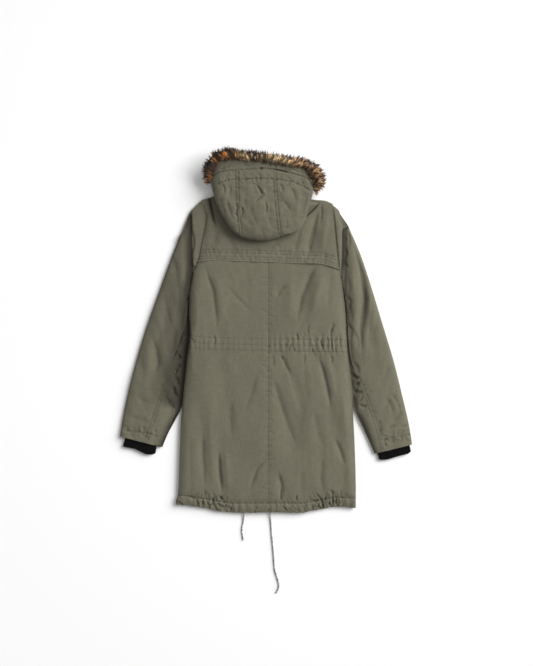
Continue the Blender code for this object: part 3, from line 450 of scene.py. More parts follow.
backCreases = creasesFrom([
    (7.2, -2.6, -172, 182, -162, 145, -149, 110, -142, 50, -137, -6),
    (20, 2, -150, 170, -128, 95, -124, 20),
    (6.6, -1.1, -116, 132, -80, 90, -40, 50),
    (16, -1, -60, 180, -48, 130, -52, 60),
    (14, 1.4, -203, 120, -196, 50, -199, -10),
    (10.5, -5, 144, 183, 124, 150, 102, 93, 88, 22),
    (18, 3.6, 170, 160, 144, 110, 130, 40),
    (16, 2.2, 74, 150, 68, 90, 64, 30),
    (7, -2, 60, 128, 40, 110, 30, 86),
    (6, -2.6, 195, 22, 188, 6, 181, -15),
    (9, -1.4, 186, 160, 180, 110, 178, 60),
    (6.8, -4.2, 148.2, -72, 162.4, -115, 173.8, -163, 185.2, -229),
    (12, 2.2, 170, -80, 188, -140, 196, -200),
    (12, -3.4, 20, -130, 38.5, -200, 62.7, -271, 88.3, -334),
    (16, 2.2, 56, -110, 74, -190, 96, -260),
    (6, -2.6, 48, -74, 56, -100, 72, -130),
    (6, -1.8, 16, -64, 22, -86, 20, -110),
    (12, -1.4, 108, -100, 112, -160, 124, -220),
    (13, -1.8, 136, -230, 148, -290, 166, -340),
    (7.5, -3.4, 195.2, -306, 212, -344, 223.7, -386),
    (15, 1.8, 220, -180, 224, -250, 228, -310),
    (7, -3.4, 34.2, -402, 44, -438, 48.5, -478),
    (12, -1.4, 104, -390, 100, -440, 108, -490),
    (10, -2.4, 162, -360, 156, -420, 164, -470),
    (10, -2, -22.8, -120, -38, -170, -60, -235),
    (12, -2.2, -96.9, -200, -102, -250, -96.9, -314),
    (6, -2.6, 0, -371, -25, -396, -31.3, -414, -45.6, -456),
    (6.2, -4.4, -134, -342, -132, -400, -124.5, -462),
    (14, 2.6, -116, -330, -110, -410, -104, -470),
    (8, -2.4, -179.6, -285.6, -179, -360, -172.4, -448),
    (14, 1.8, -158, -250, -156, -350, -150, -450),
    (10, -1.2, -215, -280, -216, -370, -212, -460),
])
yokeCreases = creasesFrom([
    (2.4, -3, 152, 359, 134, 341, 116, 323),
    (4, -1.6, 158.3, 360, 158.3, 325, 154, 300),
    (6, -4, -159.7, 370, -153, 334, -144.2, 296),
    (10, -3, 152, 345, 138, 300, 126, 250, 120, 200),
    (12, 1.6, 176, 335, 166, 280, 160, 215),
    (9, -1.4, 100, 290, 88, 250, 80, 215),
    (9, -1.8, -165, 350, -172, 290, -178, 240),
    (12, -1.4, -146, 340, -142, 280, -146, 220),
    (8, -1, -100, 262, -92, 235, -98, 205),
    (7, -1, 36, 245, 10, 230, -20, 222),
])
sleeveCreases = {
    -1: creasesFrom([
        (11, -4, -322, -18, -311, -60, -306, -95, -314, -130),
        (13, 2, -338, -30, -330, -80, -332, -130),
        (12, -3, -262, 210, -250, 140, -246, 70),
        (10, 1.6, -232, 180, -232, 110, -236, 30),
        (12, -1.8, -290, 110, -280, 50, -268, 0),
        (12, -2.6, -255, 20, -262, -50, -276, -110),
        (10, 1.2, -300, 30, -292, -20, -286, -70),
        (12, -1.4, -355, -60, -350, -120, -352, -180),
        (11, -2, -262, -130, -282, -180, -290, -230),
        (9, -1.2, -375, -180, -352, -200, -330, -205),
        (8, -1, -385, -245, -355, -255, -330, -262),
        (6, -2, -240, -60, -252, -85, -246, -110),
    ]),
    1: creasesFrom([
        (8.5, -7.2, 252, 236, 274, 150, 281, 85, 270, 0, 274, -86),
        (8, 2.2, 290, 150, 296, 85, 286, 0, 286, -70),
        (16, 3, 296, 190, 304, 120, 306, 50, 298, -30),
        (8, 2.2, 262, 130, 260, 80, 254, 30),
        (7, -3, 236, 78, 243, 40, 244, 16),
        (9, 1.6, 244, 180, 250, 120, 252, 60),
        (7, -2.2, 248, 0, 262, -30, 262, -60),
        (5, -2.6, 252, -140, 262, -160, 254, -176, 266, -196),
        (14, -1.6, 330, 30, 336, -40, 330, -100),
        (11, -1.8, 350, -90, 340, -130, 318, -160),
        (10, -1.8, 376, -170, 350, -205, 332, -232),
        (9, -1.6, 392, -230, 372, -252, 352, -262),
        (6, -1.8, 398, -285, 382, -292, 366, -300),
        (8, -1.6, 318, -250, 326, -290, 336, -320),
    ]),
}
hoodCreases = creasesFrom([
    (3, -4.2, -28.1, 408.2, -17.9, 395.7, -12.6, 385.2, -5, 377.4),
    (3.4, -3, -5, 377.4, -20.5, 367.6, -30.9, 357.1),
    (6, 2.2, -11.8, 398.3, -3.9, 387.5, 3, 380.6),
    (3, -2.6, -2, 364.8, 2, 343.1, 0, 321.4),
    (3.4, -2.4, -68.8, 418.2, -49.3, 423, -38.3, 426),
    (4.5, -1.8, -64.1, 406.2, -44.4, 412.1, -25.6, 407.2),
    (8, -1.4, -45.4, 351, -35.5, 317.5, -21.7, 287.9),
    (7, -1.4, -55.2, 394.4, -59.2, 364.8, -55.2, 335.2),
    (3.6, -3.4, -84.8, 358.9, -78.9, 343.1, -84.8, 327.4, -76.9, 311.6),
    (3.6, -2.6, -71, 351, -65.1, 333.3, -69, 315.5),
    (3, -2.6, -143.3, 400.4, -147.9, 389.5, -150.7, 385.2),
    (4, -2.2, -124.2, 412.1, -116.3, 396.4, -118.3, 380.6),
    (5, -2, -104.5, 412.1, -100.6, 392.4, -104.5, 370.7),
    (6, -2, -110.4, 366.8, -102.5, 337.2, -94.7, 313.5),
    (8, -2.2, -131.1, 376.7, -125.2, 351, -112.4, 319.5),
    (4, -2, 37.5, 412.1, 47.3, 400.3, 45.4, 384.5),
    (6, -1.6, 47.7, 364.8, 61.1, 349, 69, 333.3),
    (6, -1.8, 65.1, 408.2, 78.9, 386.5, 84.8, 358.9),
    (3, -3.8, 117.4, 431.1, 126.2, 414.1, 130.3, 400.4),
    (3.4, -3, 106.5, 402.3, 118.3, 395.4, 131.1, 393.4),
    (5, -1.8, 116.3, 380.6, 110.4, 351, 102.5, 325.4),
    (8, 1.4, 96.6, 384.5, 92.7, 355, 86.8, 321.4),
    (5, -1.2, 55.2, 315.5, 59.2, 293.8, 55.2, 276.1),
    (7, -1.2, 11.8, 351, 7.9, 315.5, 13.8, 285.9),
])
hoodRows = metres({
    "left": [
        [(-86, 448.5), (-84.8, 381), (-82.6, 335), (-78, 290), (-75.2, 272)],
        [(-78, 448.5), (-76.8, 381), (-74.6, 335), (-70, 290), (-67.2, 270)]],
    "right": [
        [(19.5, 450), (23.2, 380), (27.5, 335), (32.2, 290), (34.8, 268)],
        [(27.5, 450), (31.2, 380), (35.5, 335), (40.2, 290), (42.8, 268)]],
    "edge": [
        [
            (-138, 409.2), (-113.4, 419), (-88.7, 423), (-23.7, 425), (25.6, 424), (74.9, 416.1),
            (118.3, 398.3)]],
})


def stitchGroove(x, y, rows, kind):
    width, depth = grooveLooks[kind]
    height = np.zeros(x.shape)
    for row in rows:
        height -= depth * bell(alongPath(x, y, row)[0] / width)
    return height


puckerLooks = {  # small gathers that start on a row of stitches
    "waist": {"step": 0.0115, "reach": (0.008, 0.026), "lean": 0.32,
              "width": (0.0020, 0.0036), "depth": (0.0005, 0.0015)},
    "hem": {"step": 0.0085, "reach": (0.010, 0.028), "lean": 0.38,
            "width": (0.0018, 0.0030), "depth": (0.0008, 0.0022)},
    "seam": {"step": 0.0170, "reach": (0.008, 0.024), "lean": 0.45,
             "width": (0.0028, 0.0046), "depth": (0.0002, 0.0008)},
    "edge": {"step": 0.0140, "reach": (0.008, 0.024), "lean": 0.55,
             "width": (0.0028, 0.0048), "depth": (0.0003, 0.0011)},
}
# x places, and how strongly the waist and the hem are drawn up there
waistPull = ([-0.23, -0.215, -0.20, -0.15, -0.14, -0.08, 0.0, 0.03, 0.08, 0.17, 0.20, 0.23],
             [0.45, 0.40, 0.16, 0.26, 0.12, 0.10, 0.20, 0.42, 0.60, 0.66, 0.54, 0.50])
hemPull = ([-0.255, -0.235, -0.215, -0.195, -0.16, -0.12, -0.09, 0.0, 0.05, 0.12, 0.15, 0.205,
            0.225, 0.25],
           [0.90, 0.40, 0.40, 0.90, 1.20, 1.00, 0.35, 0.45, 0.50, 0.50, 1.25, 1.25, 0.40, 0.30])
hemTop = shifted(bodyLines["hem"], hemSteps[0], -0.250, 0.254)
drawnCreases = [crease for row, look, seed, sides, pull in (
    (stitchRows["waist"][0], "waist", 101, (1, -1), waistPull),
    (stitchRows["waist"][1], "waist", 102, (1, -1), waistPull),
    (stitchRows["waist"][2], "waist", 103, (1, -1), waistPull),
    (hemTop, "hem", 104, (1, -1, -1), hemPull),
    (shifted(bodyLines["hem"], 0.001), "hem", 105, (1, 1), hemPull),
    (bodyLines["centreBack"], "seam", 106, (1, -1), None),
) for crease in puckers(row, puckerLooks[look], seed, sides, pull)]
waistCreases = creasesFrom([
    (3, -3, 87, -6, 88.5, -20, 90.3, -35),
    (2.6, -2.6, 71.3, -40.5, 66, -50, 65.6, -63.3),
    (2.6, -2.2, 82.7, -49, 80, -56, 82.7, -64),
    (2.6, -2.6, 129.7, -39.3, 131, -54, 133.1, -67.5),
    (2.6, -3.4, 155, -26.2, 156, -40, 161.6, -51.9),
    (3.4, -2.8, 42.8, -72, 45.6, -80, 48.5, -88),
    (3.4, -2.4, 184, -70, 188, -84, 186, -99),
    (3.4, -1.8, 108, -68, 110, -86, 106, -102),
    (3, -2, 190, 10, 184, -10, 186, -30),
    (3, -1.8, 124, 18, 118, 0, 122, -20),
    (2.8, -2.4, -216, -20, -206, -30, -208, -44),
    (2.8, -2, -148, -12, -144, -30, -146, -48),
])
hemCreases = creasesFrom([
    (3.4, -3, -225, -472, -208, -477, -188, -483),
    (2.6, -4, -180.7, -482.2, -180, -493, -180.4, -505),
    (3, -4.4, -152.5, -470.8, -151, -490, -152, -509),
    (3.6, -4.8, -134, -470.8, -126, -479, -119.7, -485),
    (2.6, -3, -144, -490, -130, -499, -118, -505),
    (2.4, -3.4, -101.2, -502.2, -100, -509, -98, -515.6),
    (2.2, -2.8, -165, -489, -164, -500, -166, -506),
    (2.8, -3.4, -248, -486, -238, -496, -240, -504),
    (2.6, -2.2, -29.9, -501.3, -27, -506, -24, -509.6),
    (3.2, -3.6, 42.7, -448, 42, -468, 42.7, -489.3),
    (2.6, -3.4, 47, -499.3, 56, -509, 64.1, -521),
    (2.6, -3, 86.9, -466.5, 86, -478, 86.9, -487.9),
    (3.6, -4.2, 128.2, -485, 140, -486, 151, -485),
    (2.8, -4.8, 153.9, -476.5, 160, -490, 164, -507.9),
    (2.6, -4.2, 170, -474, 166, -486, 172, -499),
    (2.8, -4.6, 185.3, -476.5, 190, -488, 188, -499),
    (2.6, -3.6, 200, -478, 198, -490, 202.4, -500),
])


# Uneven cloth: height, stretch along y, size and seed of two sizes of soft hills, and the same
# of the sharp ridges
unevenLooks = {
    "body": ((0.0019, 0.45, 0.064, 3), (0.0007, 0.40, 0.028, 4), (0.00026, 0.55, 0.022, 5)),
    "yoke": ((0.0018, 1, 0.050, 6), (0.0007, 1, 0.022, 7), (0.0002, 0.7, 0.020, 16)),
    "sleeve": ((0.0012, 0.45, 0.042, 8), (0.0007, 0.6, 0.019, 18), (0.00025, 0.6, 0.020, 28)),
    "hood": ((0.0015, 1, 0.036, 9), (0.0009, 1, 0.017, 10), (0.00036, 1, 0.016, 19)),
    "strip": ((0.0007, 0.6, 0.014, 13), (0.0008, 0.5, 0.030, 14), (0.0005, 1, 0.012, 15)),
}
grooveLooks = {  # width and depth of the grooves that rows of stitches press
    "centreSeam": (0.0026, 0.0004), "centreBack": (0.0020, 0.0002), "yoke": (0.0020, 0.0006),
    "armholes": (0.0022, 0.0008), "sleeveSeam": (0.0020, 0.0006), "sleeveHem": (0.0022, 0.0010),
    "hood": (0.0020, 0.0008), "hoodEdge": (0.0022, 0.0009),
}


def uneven(height, x, y, kind, seedShift=0):
    look = unevenLooks[kind]
    hills = [high * cloud(x, y * stretch, size, seed + seedShift)
             for high, stretch, size, seed in look[:2]]
    high, stretch, size, seed = look[2]
    return height + (hills[0] + hills[1]) + high * crinkle(x, y * stretch, size,
                                                           seed + seedShift)


def bodyRelief(x, y):
    # folds, gathers and pressed seams of the two back panels
    height = creaseRelief(x, y, backCreases)
    height += creaseRelief(x, y, drawnCreases + waistCreases + hemCreases)
    waistLine = lineHeight(bodyLines["waist"], x)
    pull = np.interp(x, *waistPull)
    for drop in waistSteps:
        height -= (0.0002 + 0.0006 * pull) * bell((y - waistLine - drop) / 0.0022)
    height += 0.0008 * pull * bell((y - waistLine) / 0.016)
    hemLine = lineHeight(bodyLines["hem"], x)
    height -= 0.0016 * bell((y - hemLine - hemSteps[0]) / 0.0024)
    height += 0.0012 * bell((y - hemLine - 0.0135) / 0.0090)
    edge = bell((y - hemLine - 0.013) / 0.013)
    height += 0.0010 * edge * np.interp(x, *hemPull) * crinkle(x, y * 0.6, 0.010, 24)
    height += stitchGroove(x, y, [bodyLines["centreBack"]], "centreSeam")
    height += stitchGroove(x, y, stitchRows["centreBack"], "centreBack")
    height = uneven(height, x, y, "body")
    slant = cloud(x * 1.1 + y * 0.25, y * 0.30, 0.040, 11)
    height += 0.0008 * smoothStep((x - 0.01) / 0.05) * slant
    return height


def hemDrift(x, y):
    # the drawn hem's edge is scalloped a little
    near = smoothStep((lineHeight(bodyLines["hem"], x) + 0.030 - y) / 0.026)
    pull = np.interp(x, *hemPull)
    scallops = cloud(x, 0 * x, 0.0095, 92) + 0.8 * cloud(x, 0 * x, 0.021, 93)
    return near * (0.0009 + 0.0006 * pull) * scallops


yokePuckers = [crease for row, seed in zip(stitchRows["yoke"], (111, 112, 113, 114))
               for crease in puckers(row, puckerLooks["seam"], seed)]


def yokeRelief(x, y):
    height = 1.5 * creaseRelief(x, y, yokeCreases) + creaseRelief(x, y, yokePuckers)
    height += stitchGroove(x, y, stitchRows["yoke"], "yoke")
    height += stitchGroove(x, y, stitchRows["armholes"], "armholes")
    lift = y - lineHeight(bodyLines["yokeSeam"], x)
    height += 0.0010 * bell(lift / 0.006)  # the free lower edge stands up a little
    return uneven(height, x, y, "yoke")


sleeveSeams = metres({
    -1: [
        (-222, 0), (-242, -60), (-266, -120), (-288, -154), (-308, -219), (-327.8, -274),
        (-339, -311)],
    1: [
        (218, 10), (242, -89), (265, -146), (287.8, -197), (307.8, -254), (322, -300),
        (330.6, -347)],
})
sleeveHems = metres({
    -1: [(-402, -285.6), (-336.3, -294), (-307.8, -302)],
    1: [(410.4, -297), (376.2, -303), (338, -311)],
})


underarmCreases = {
    -1: creasesFrom([
        (6.4, -6.6, -256, -56, -250, -76, -238, -86),
        (5.6, -7.5, -240, -96, -254, -112, -262, -134),
        (6.4, -6, -256, -130, -250, -150, -244, -162),
        (6.4, -6.9, -264, -156, -260, -180, -248, -196),
        (7.2, -5.4, -280, -196, -268, -216, -256, -228),
        (4.8, -5.4, -228, 0, -240, -24, -242, -52),
        (4.5, -4.5, -224, 70, -234, 44, -236, 14),
        (4.8, -6, -212, 290, -206, 250, -210, 210),
    ]),
    1: creasesFrom([
        (6, -2.9, 250, -90, 260, -106, 266, -130),
        (5.6, -4.8, 244, -124, 256, -136, 268, -138),
        (3.6, -2.9, 252, -160, 262, -152, 268, -142),
        (5.6, -4.6, 250, -172, 264, -178, 276, -174),
        (3.6, -2.9, 262, -206, 270, -198, 274, -184),
        (5, -3.6, 264, -212, 278, -218, 288, -214),
        (3.5, -4.5, 217.5, 276, 227.5, 256, 220.5, 242),
        (3, -3.6, 220.5, 242, 230.5, 220, 226.5, 204),
        (3.6, -4.5, 218.5, 206, 224.5, 188, 234.5, 176),
        (3.6, -2.2, 230.5, 286, 238.5, 260, 236.5, 230),
        (6, -3.3, 230, 100, 240, 80, 236, 56),
        (6, -2.9, 232, 20, 244, 0, 242, -30),
        (5, -1.7, 234, 150, 238, 120, 234, 90),
        (6.4, -1.7, 340, -190, 356, -216, 362, -244),
        (5.4, -1.6, 356, -180, 374, -206, 382, -236),
        (3.6, -2.2, 390, -288, 382, -300, 386, -314),
        (3.6, -2.3, 366, -296, 358, -308, 364, -326),
        (3.4, -2.2, 342, -302, 336, -316, 342, -334),
        (4.4, -2, 404, -270, 390, -276, 378, -272),
        (4.6, -2, 370, -270, 356, -276, 344, -286),
    ]),
}
# how far the sleeve drops into the groove beside the back, between two heights
sinkLooks = {-1: {"reach": 0.026, "depth": 0.0110}, 1: {"reach": 0.011, "depth": 0.0055}}
sinkLower, sinkUpper = -0.40, 0.36
armpit = 0.165  # height from which the sleeve is sewn to the back


def sleeveRelief(hand):
    # the relief of a hand's two sleeve pieces; its rows of stitches are kept as well
    seam, hemRow = sleeveSeams[hand], sleeveHems[hand]
    rows = [[(x - hand * 0.004, y - 0.001) for x, y in seam],
            [(x + hand * 0.004, y + 0.001) for x, y in seam]]
    stitchRows["sleeve" + str(hand)] = rows + [hemRow]
    creases = (sleeveCreases[hand] + underarmCreases[hand]
               + puckers(seam, puckerLooks["seam"], 121 + hand)
               + puckers(hemRow, puckerLooks["edge"], 131 + hand)
               + puckers(hemRow, puckerLooks["edge"], 141 + hand))
    sink = sinkLooks[hand]

    def relief(x, y):
        height = creaseRelief(x, y, creases)
        height += stitchGroove(x, y, rows, "sleeveSeam")
        height += stitchGroove(x, y, [hemRow], "sleeveHem")
        past = besideInner(x, y, hand)
        beside = np.maximum(past, 0)
        rise = smoothStep((y - armpit) / 0.02) * (1 - smoothStep((past + 0.001) / 0.003))
        height -= sink["depth"] * bell(beside / sink["reach"]) * smoothStep(
            (y - sinkLower) / 0.12) * smoothStep((sinkUpper - y) / 0.10) * (1 - rise)
        along = x * 0.30 * hand + y * 0.95
        across = x * 0.95 - y * 0.30 * hand
        height = uneven(height, across, along, "sleeve", hand)
        nearHem = bell(alongPath(x, y, hemRow)[0] / 0.020)
        height += 0.0012 * nearHem * crinkle(across * 0.8, along, 0.014, 38 + hand)
        return height

    return relief


sleeveReliefs = {hand: sleeveRelief(hand) for hand in hands.values()}


hoodPuckers = [crease for row, look, seed in (
    (hoodRows["left"][0], "seam", 151), (hoodRows["left"][1], "seam", 152),
    (hoodRows["right"][0], "seam", 153), (hoodRows["right"][1], "seam", 154),
    (hoodRows["edge"][0], "edge", 155), (hoodRows["edge"][0], "edge", 156),
) for crease in puckers(row, puckerLooks[look], seed)]
# the slit between the hood's edge and the strip: a line, and how far it gapes along it
slit = metres([
    (-156.8, 428.5), (-133, 444), (-89.3, 449), (-33.1, 453), (-12.6, 455.5), (20.5, 453),
    (53.4, 445.1), (104.8, 432.2), (125, 423.8), (132.1, 404.3)])
slitGape = ([-0.16, -0.13, -0.09, -0.03, -0.020, -0.0125, -0.004, 0.02, 0.032, 0.050, 0.062,
             0.12],
            [0.20, 0.45, 0.35, 0.40, 0.60, 3.00, 1.00, 0.70, 1.80, 1.80, 0.60, 0.45])


# the hole's darkness is painted shade; the edge also drops there
notch = (-0.0126, 0.4535)  # the small dark hole where the hood's edge gapes most


def hoodRelief(x, y):
    height = creaseRelief(x, y, hoodCreases + hoodPuckers)
    height += stitchGroove(x, y, hoodRows["left"] + hoodRows["right"], "hood")
    height += stitchGroove(x, y, hoodRows["edge"], "hoodEdge")
    away = alongPath(x, y, slit)[0]
    height -= 0.0034 * np.interp(x, *slitGape) * bell(away / 0.0034)
    return uneven(height, x, y, "hood")


# the hood's upper edge, and how far it moves down on the strip: x, and y or drop there
hoodTop = metres((
    [-160, -136, -112, -88, 32, 56, 80, 104, 128],
    [435.7, 451.2, 458.2, 458, 458, 451.3, 446.3, 440.4, 431.9]))
edgeDrop = metres(([-160, -143, -85, -13, 30, 50, 117, 135], [6, 8, 8, 6, 4.8, 4.4, 6.2, 4]))


def hoodDrift(x, y):
    # the hood's edge lies a little lower on the strip, with a notch in the middle
    near = smoothStep((y - np.interp(x, *hoodTop) + 0.022) / 0.022)
    drop = np.interp(x, *edgeDrop) + 0.0022 * bell((x - notch[0]) / 0.0035)
    return -near * drop


stripCreases = creasesFrom([
    (3, -2.6, -109.5, 456.6, -104.5, 461.4, -100.6, 466.4),
    (2.6, -2.6, 20.5, 468.2, 25.6, 461.4, 30.9, 454.2),
    (2.6, -1.8, 19.7, 467.4, 11.8, 462.4, 5.9, 458.5),
    (3.4, -1.6, -69, 469.3, -55.2, 463.4, -41.4, 459.5),
    (2.6, -2.8, 47.3, 452.6, 61.1, 450.6, 74.9, 446.7),
    (3, -1.4, 63.1, 457.5, 80.9, 449.6, 98.6, 441.7),
    (3, -2.2, -132.1, 451.6, -120.3, 453.6, -110.4, 459.5),
])


def stripRelief(x, y):
    away = alongPath(x, y, slit)[0]
    height = creaseRelief(x, y, stripCreases)
    height += 0.0010 * bell((away - 0.004) / 0.004)
    return uneven(height, x, y, "strip")


# Cloth pieces: each starts from its own solid, rounded and remeshed finely, and takes
# its folds on the side that shows


def solidCopy(node, name):
    piece = addObject(name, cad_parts[node].data.copy())
    piece.data.materials.clear()
    selectOnly(piece)
    bpy.ops.object.mode_set(mode="EDIT")
    bpy.ops.mesh.select_all(action="SELECT")
    bpy.ops.mesh.remove_doubles(threshold=0.00002)
    bpy.ops.mesh.tris_convert_to_quads(face_threshold=math.radians(35),
                                       shape_threshold=math.radians(70))
    bpy.ops.object.mode_set(mode="OBJECT")
    return piece


def roundOff(piece):
    applyModifier(piece, "round", "SUBSURF", levels=2, render_levels=2)


def refine(piece, depth, scale):
    # new faces of one size; the piece's longest side times 1 / scale spans 2 ** depth of them
    applyModifier(piece, "fine", "REMESH", mode="SHARP", octree_depth=depth, sharpness=1.0,
                  scale=scale, use_remove_disconnected=False)


def holdRims(piece, angle):
    # keeps the cut edges where they are while the faces between them are rounded
    bm = bmesh.new()
    bm.from_mesh(piece.data)
    crease = bm.edges.layers.float.new("crease_edge")
    for edge in bm.edges:
        sharp = len(edge.link_faces) == 2 and edge.calc_face_angle(0) > math.radians(angle)
        edge[crease] = 1.0 if sharp else 0.0
    bm.to_mesh(piece.data)
    bm.free()


def surfaceOf(pieces):
    bm = bmesh.new()
    for piece in pieces:
        bm.from_mesh(piece.data)
    tree = BVHTree.FromBMesh(bm)
    bm.free()
    return tree


clothWall = 0.0016  # the least that is left between a piece's two sides
edgeShapes = {
    "shoulder": {"place": (-0.185, 0.358), "wide": 0.018, "tall": 0.016, "out": 0.0065},
    "hemCorner": {"x": -0.232, "y": -0.490, "tall": 0.016, "out": 0.0050},
    "slitBeside": {"wide": 0.012, "in": 0.0013},
}


def addCloth(node, relief, cell, hideUnder=True, drift=None):
    # cell is the size of the finer faces, or 0 for none
    piece = solidCopy(node, "cloth_" + node)
    holdRims(piece, 50)
    roundOff(piece)
    if cell:
        refine(piece, 9, max(piece.dimensions) / (cell * 512))
    points, normals = readPoints(piece)
    facing = smoothStep((normals[:, 2] - 0.05) / 0.6)
    x, y, z = points.T
    if drift:
        y += drift(x, y)
    if node in ("back_left", "back_yoke", "sleeve_left_top", "sleeve_left_under"):
        x += armholeDrift(x, y)
        shape = edgeShapes["shoulder"]  # the left shoulder's edge is fuller
        bulge = shape["out"] * spot(x, y, shape["place"], shape["wide"], shape["tall"])
        x -= 0.55 * bulge
        y += 0.83 * bulge
    if node in ("sleeve_right_top", "sleeve_right_under"):
        x -= np.interp(y, *shoulderPush) * smoothStep(besideBody(x, y, 1) / 0.012)
    writePoints(piece, points)
    lift = relief(x, y) * facing
    tree = surfaceOf([piece])
    for i in np.flatnonzero((lift < -0.0015) & (normals[:, 2] > 0.1)):
        hit = tree.ray_cast(Vector(points[i]) - Vector((0, 0, 0.0004)), Vector((0, 0, -1)))[0]
        if hit:
            lift[i] = max(lift[i], min(0, hit.z + clothWall - z[i]))
    points[:, 2] = np.maximum(z + lift, np.minimum(z, 0.0010))
    if node == "back_left":
        shape = edgeShapes["hemCorner"]
        near = smoothStep((shape["x"] - x) / 0.018) * bell((y - shape["y"]) / shape["tall"])
        points[:, 0] -= shape["out"] * near
    if node.startswith("sleeve"):
        hand = hands[node.split("_")[1]]
        shape = edgeShapes["slitBeside"]  # closed, so that no light falls through
        near = 1 - smoothStep(besideBody(x, y, hand) / shape["wide"])
        points[:, 0] -= hand * shape["in"] * near * smoothStep((y + 0.30) / 0.05)
    writePoints(piece, points)
    if hideUnder:
        thinHidden(piece)
    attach(piece, "root")
    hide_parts(node)
    clothPieces[node] = piece
    print("cloth", node, len(piece.data.vertices))


def thinHidden(piece):
    # fewer faces on flat undersides and inner walls that nothing shows
    bm = bmesh.new()
    bm.from_mesh(piece.data)
    bm.verts.ensure_lookup_table()
    tree = BVHTree.FromBMesh(bm)
    hidden = []
    for vert in bm.verts:
        up = vert.normal.z
        if up < -0.5 or (up > 0.2 and tree.ray_cast(vert.co + Vector((0, 0, 0.0006)),
                                                    Vector((0, 0, 1)))[0]):
            hidden.append(vert.index)
    share = len(hidden) / len(bm.verts)
    bm.free()
    if share < 0.1:
        return
    group = piece.vertex_groups.new(name="hidden")
    group.add(hidden, 1.0, "REPLACE")
    applyModifier(piece, "thin", "DECIMATE", decimate_type="COLLAPSE", ratio=1 - 0.93 * share,
                  vertex_group="hidden", vertex_group_factor=1.0)
    piece.vertex_groups.clear()


clothPieces = {}
flat = lambda x, y: 0 * x
addCloth("back_left", bodyRelief, 0.0022, drift=hemDrift)
addCloth("back_right", bodyRelief, 0.0022, drift=hemDrift)
addCloth("back_yoke", yokeRelief, 0.0022)
for side, hand in hands.items():
    addCloth(f"sleeve_{side}_top", sleeveReliefs[hand], 0.0023)
    addCloth(f"sleeve_{side}_under", sleeveReliefs[hand], 0.0023)
for node in ("hood_centre", "hood_side_left", "hood_side_right"):
    addCloth(node, hoodRelief, 0.0016, drift=hoodDrift)
for node in ("hood_nape", "front_left", "front_right", "collar_left", "collar_right"):
    addCloth(node, flat, 0, False)
addCloth("fur_strip", stripRelief, 0.0012)


def drawTogether(node, neighbour):
    # sewn edges come nearly together: each rim goes most of half way to its neighbour
    piece, other = clothPieces[node], clothPieces[neighbour]
    tree = surfaceOf([other])
    points, normals = readPoints(piece)
    box = np.array([v.co for v in other.data.vertices])
    near = np.flatnonzero(((points > box.min(0) - 0.001) & (points < box.max(0) + 0.001)).all(1))
    for i in near:
        if abs(normals[i, 2]) > 0.95:
            continue
        hit, _, _, far = tree.find_nearest(Vector(points[i]), 0.0011)
        if hit and abs(hit.z - points[i, 2]) < 0.5 * far + 0.0003:
            points[i] += 0.42 * (np.array(hit) - points[i]) * (1, 1, 0)
    writePoints(piece, points)


for pair in (("back_left", "back_right"), ("sleeve_left_top", "sleeve_left_under"),
             ("sleeve_right_top", "sleeve_right_under"), ("hood_centre", "hood_side_left"),
             ("hood_centre", "hood_side_right"), ("back_yoke", "sleeve_left_top"),
             ("back_yoke", "sleeve_right_top")):
    drawTogether(*pair)
    drawTogether(*pair[::-1])
for piece in clothPieces.values():
    selectOnly(piece)
    bpy.ops.object.shade_smooth_by_angle(angle=math.radians(55))
print("seams drawn together")

# Padded cloth of woven polyester and cotton, brushed faintly: matte, with a soft sheen at
# low angles and uneven slubs in its yarn

clothLook = {
    "colour": "#656353", "light": "#706d5c", "dark": "#5b594b", "shade": "#221f18",
    "thread": "#565040", "sheen": "#c9c4ae", "roughness": 0.88, "slubLength": 0.024,
    "slubWidth": 0.0016, "sleeveTurn": 17,
}


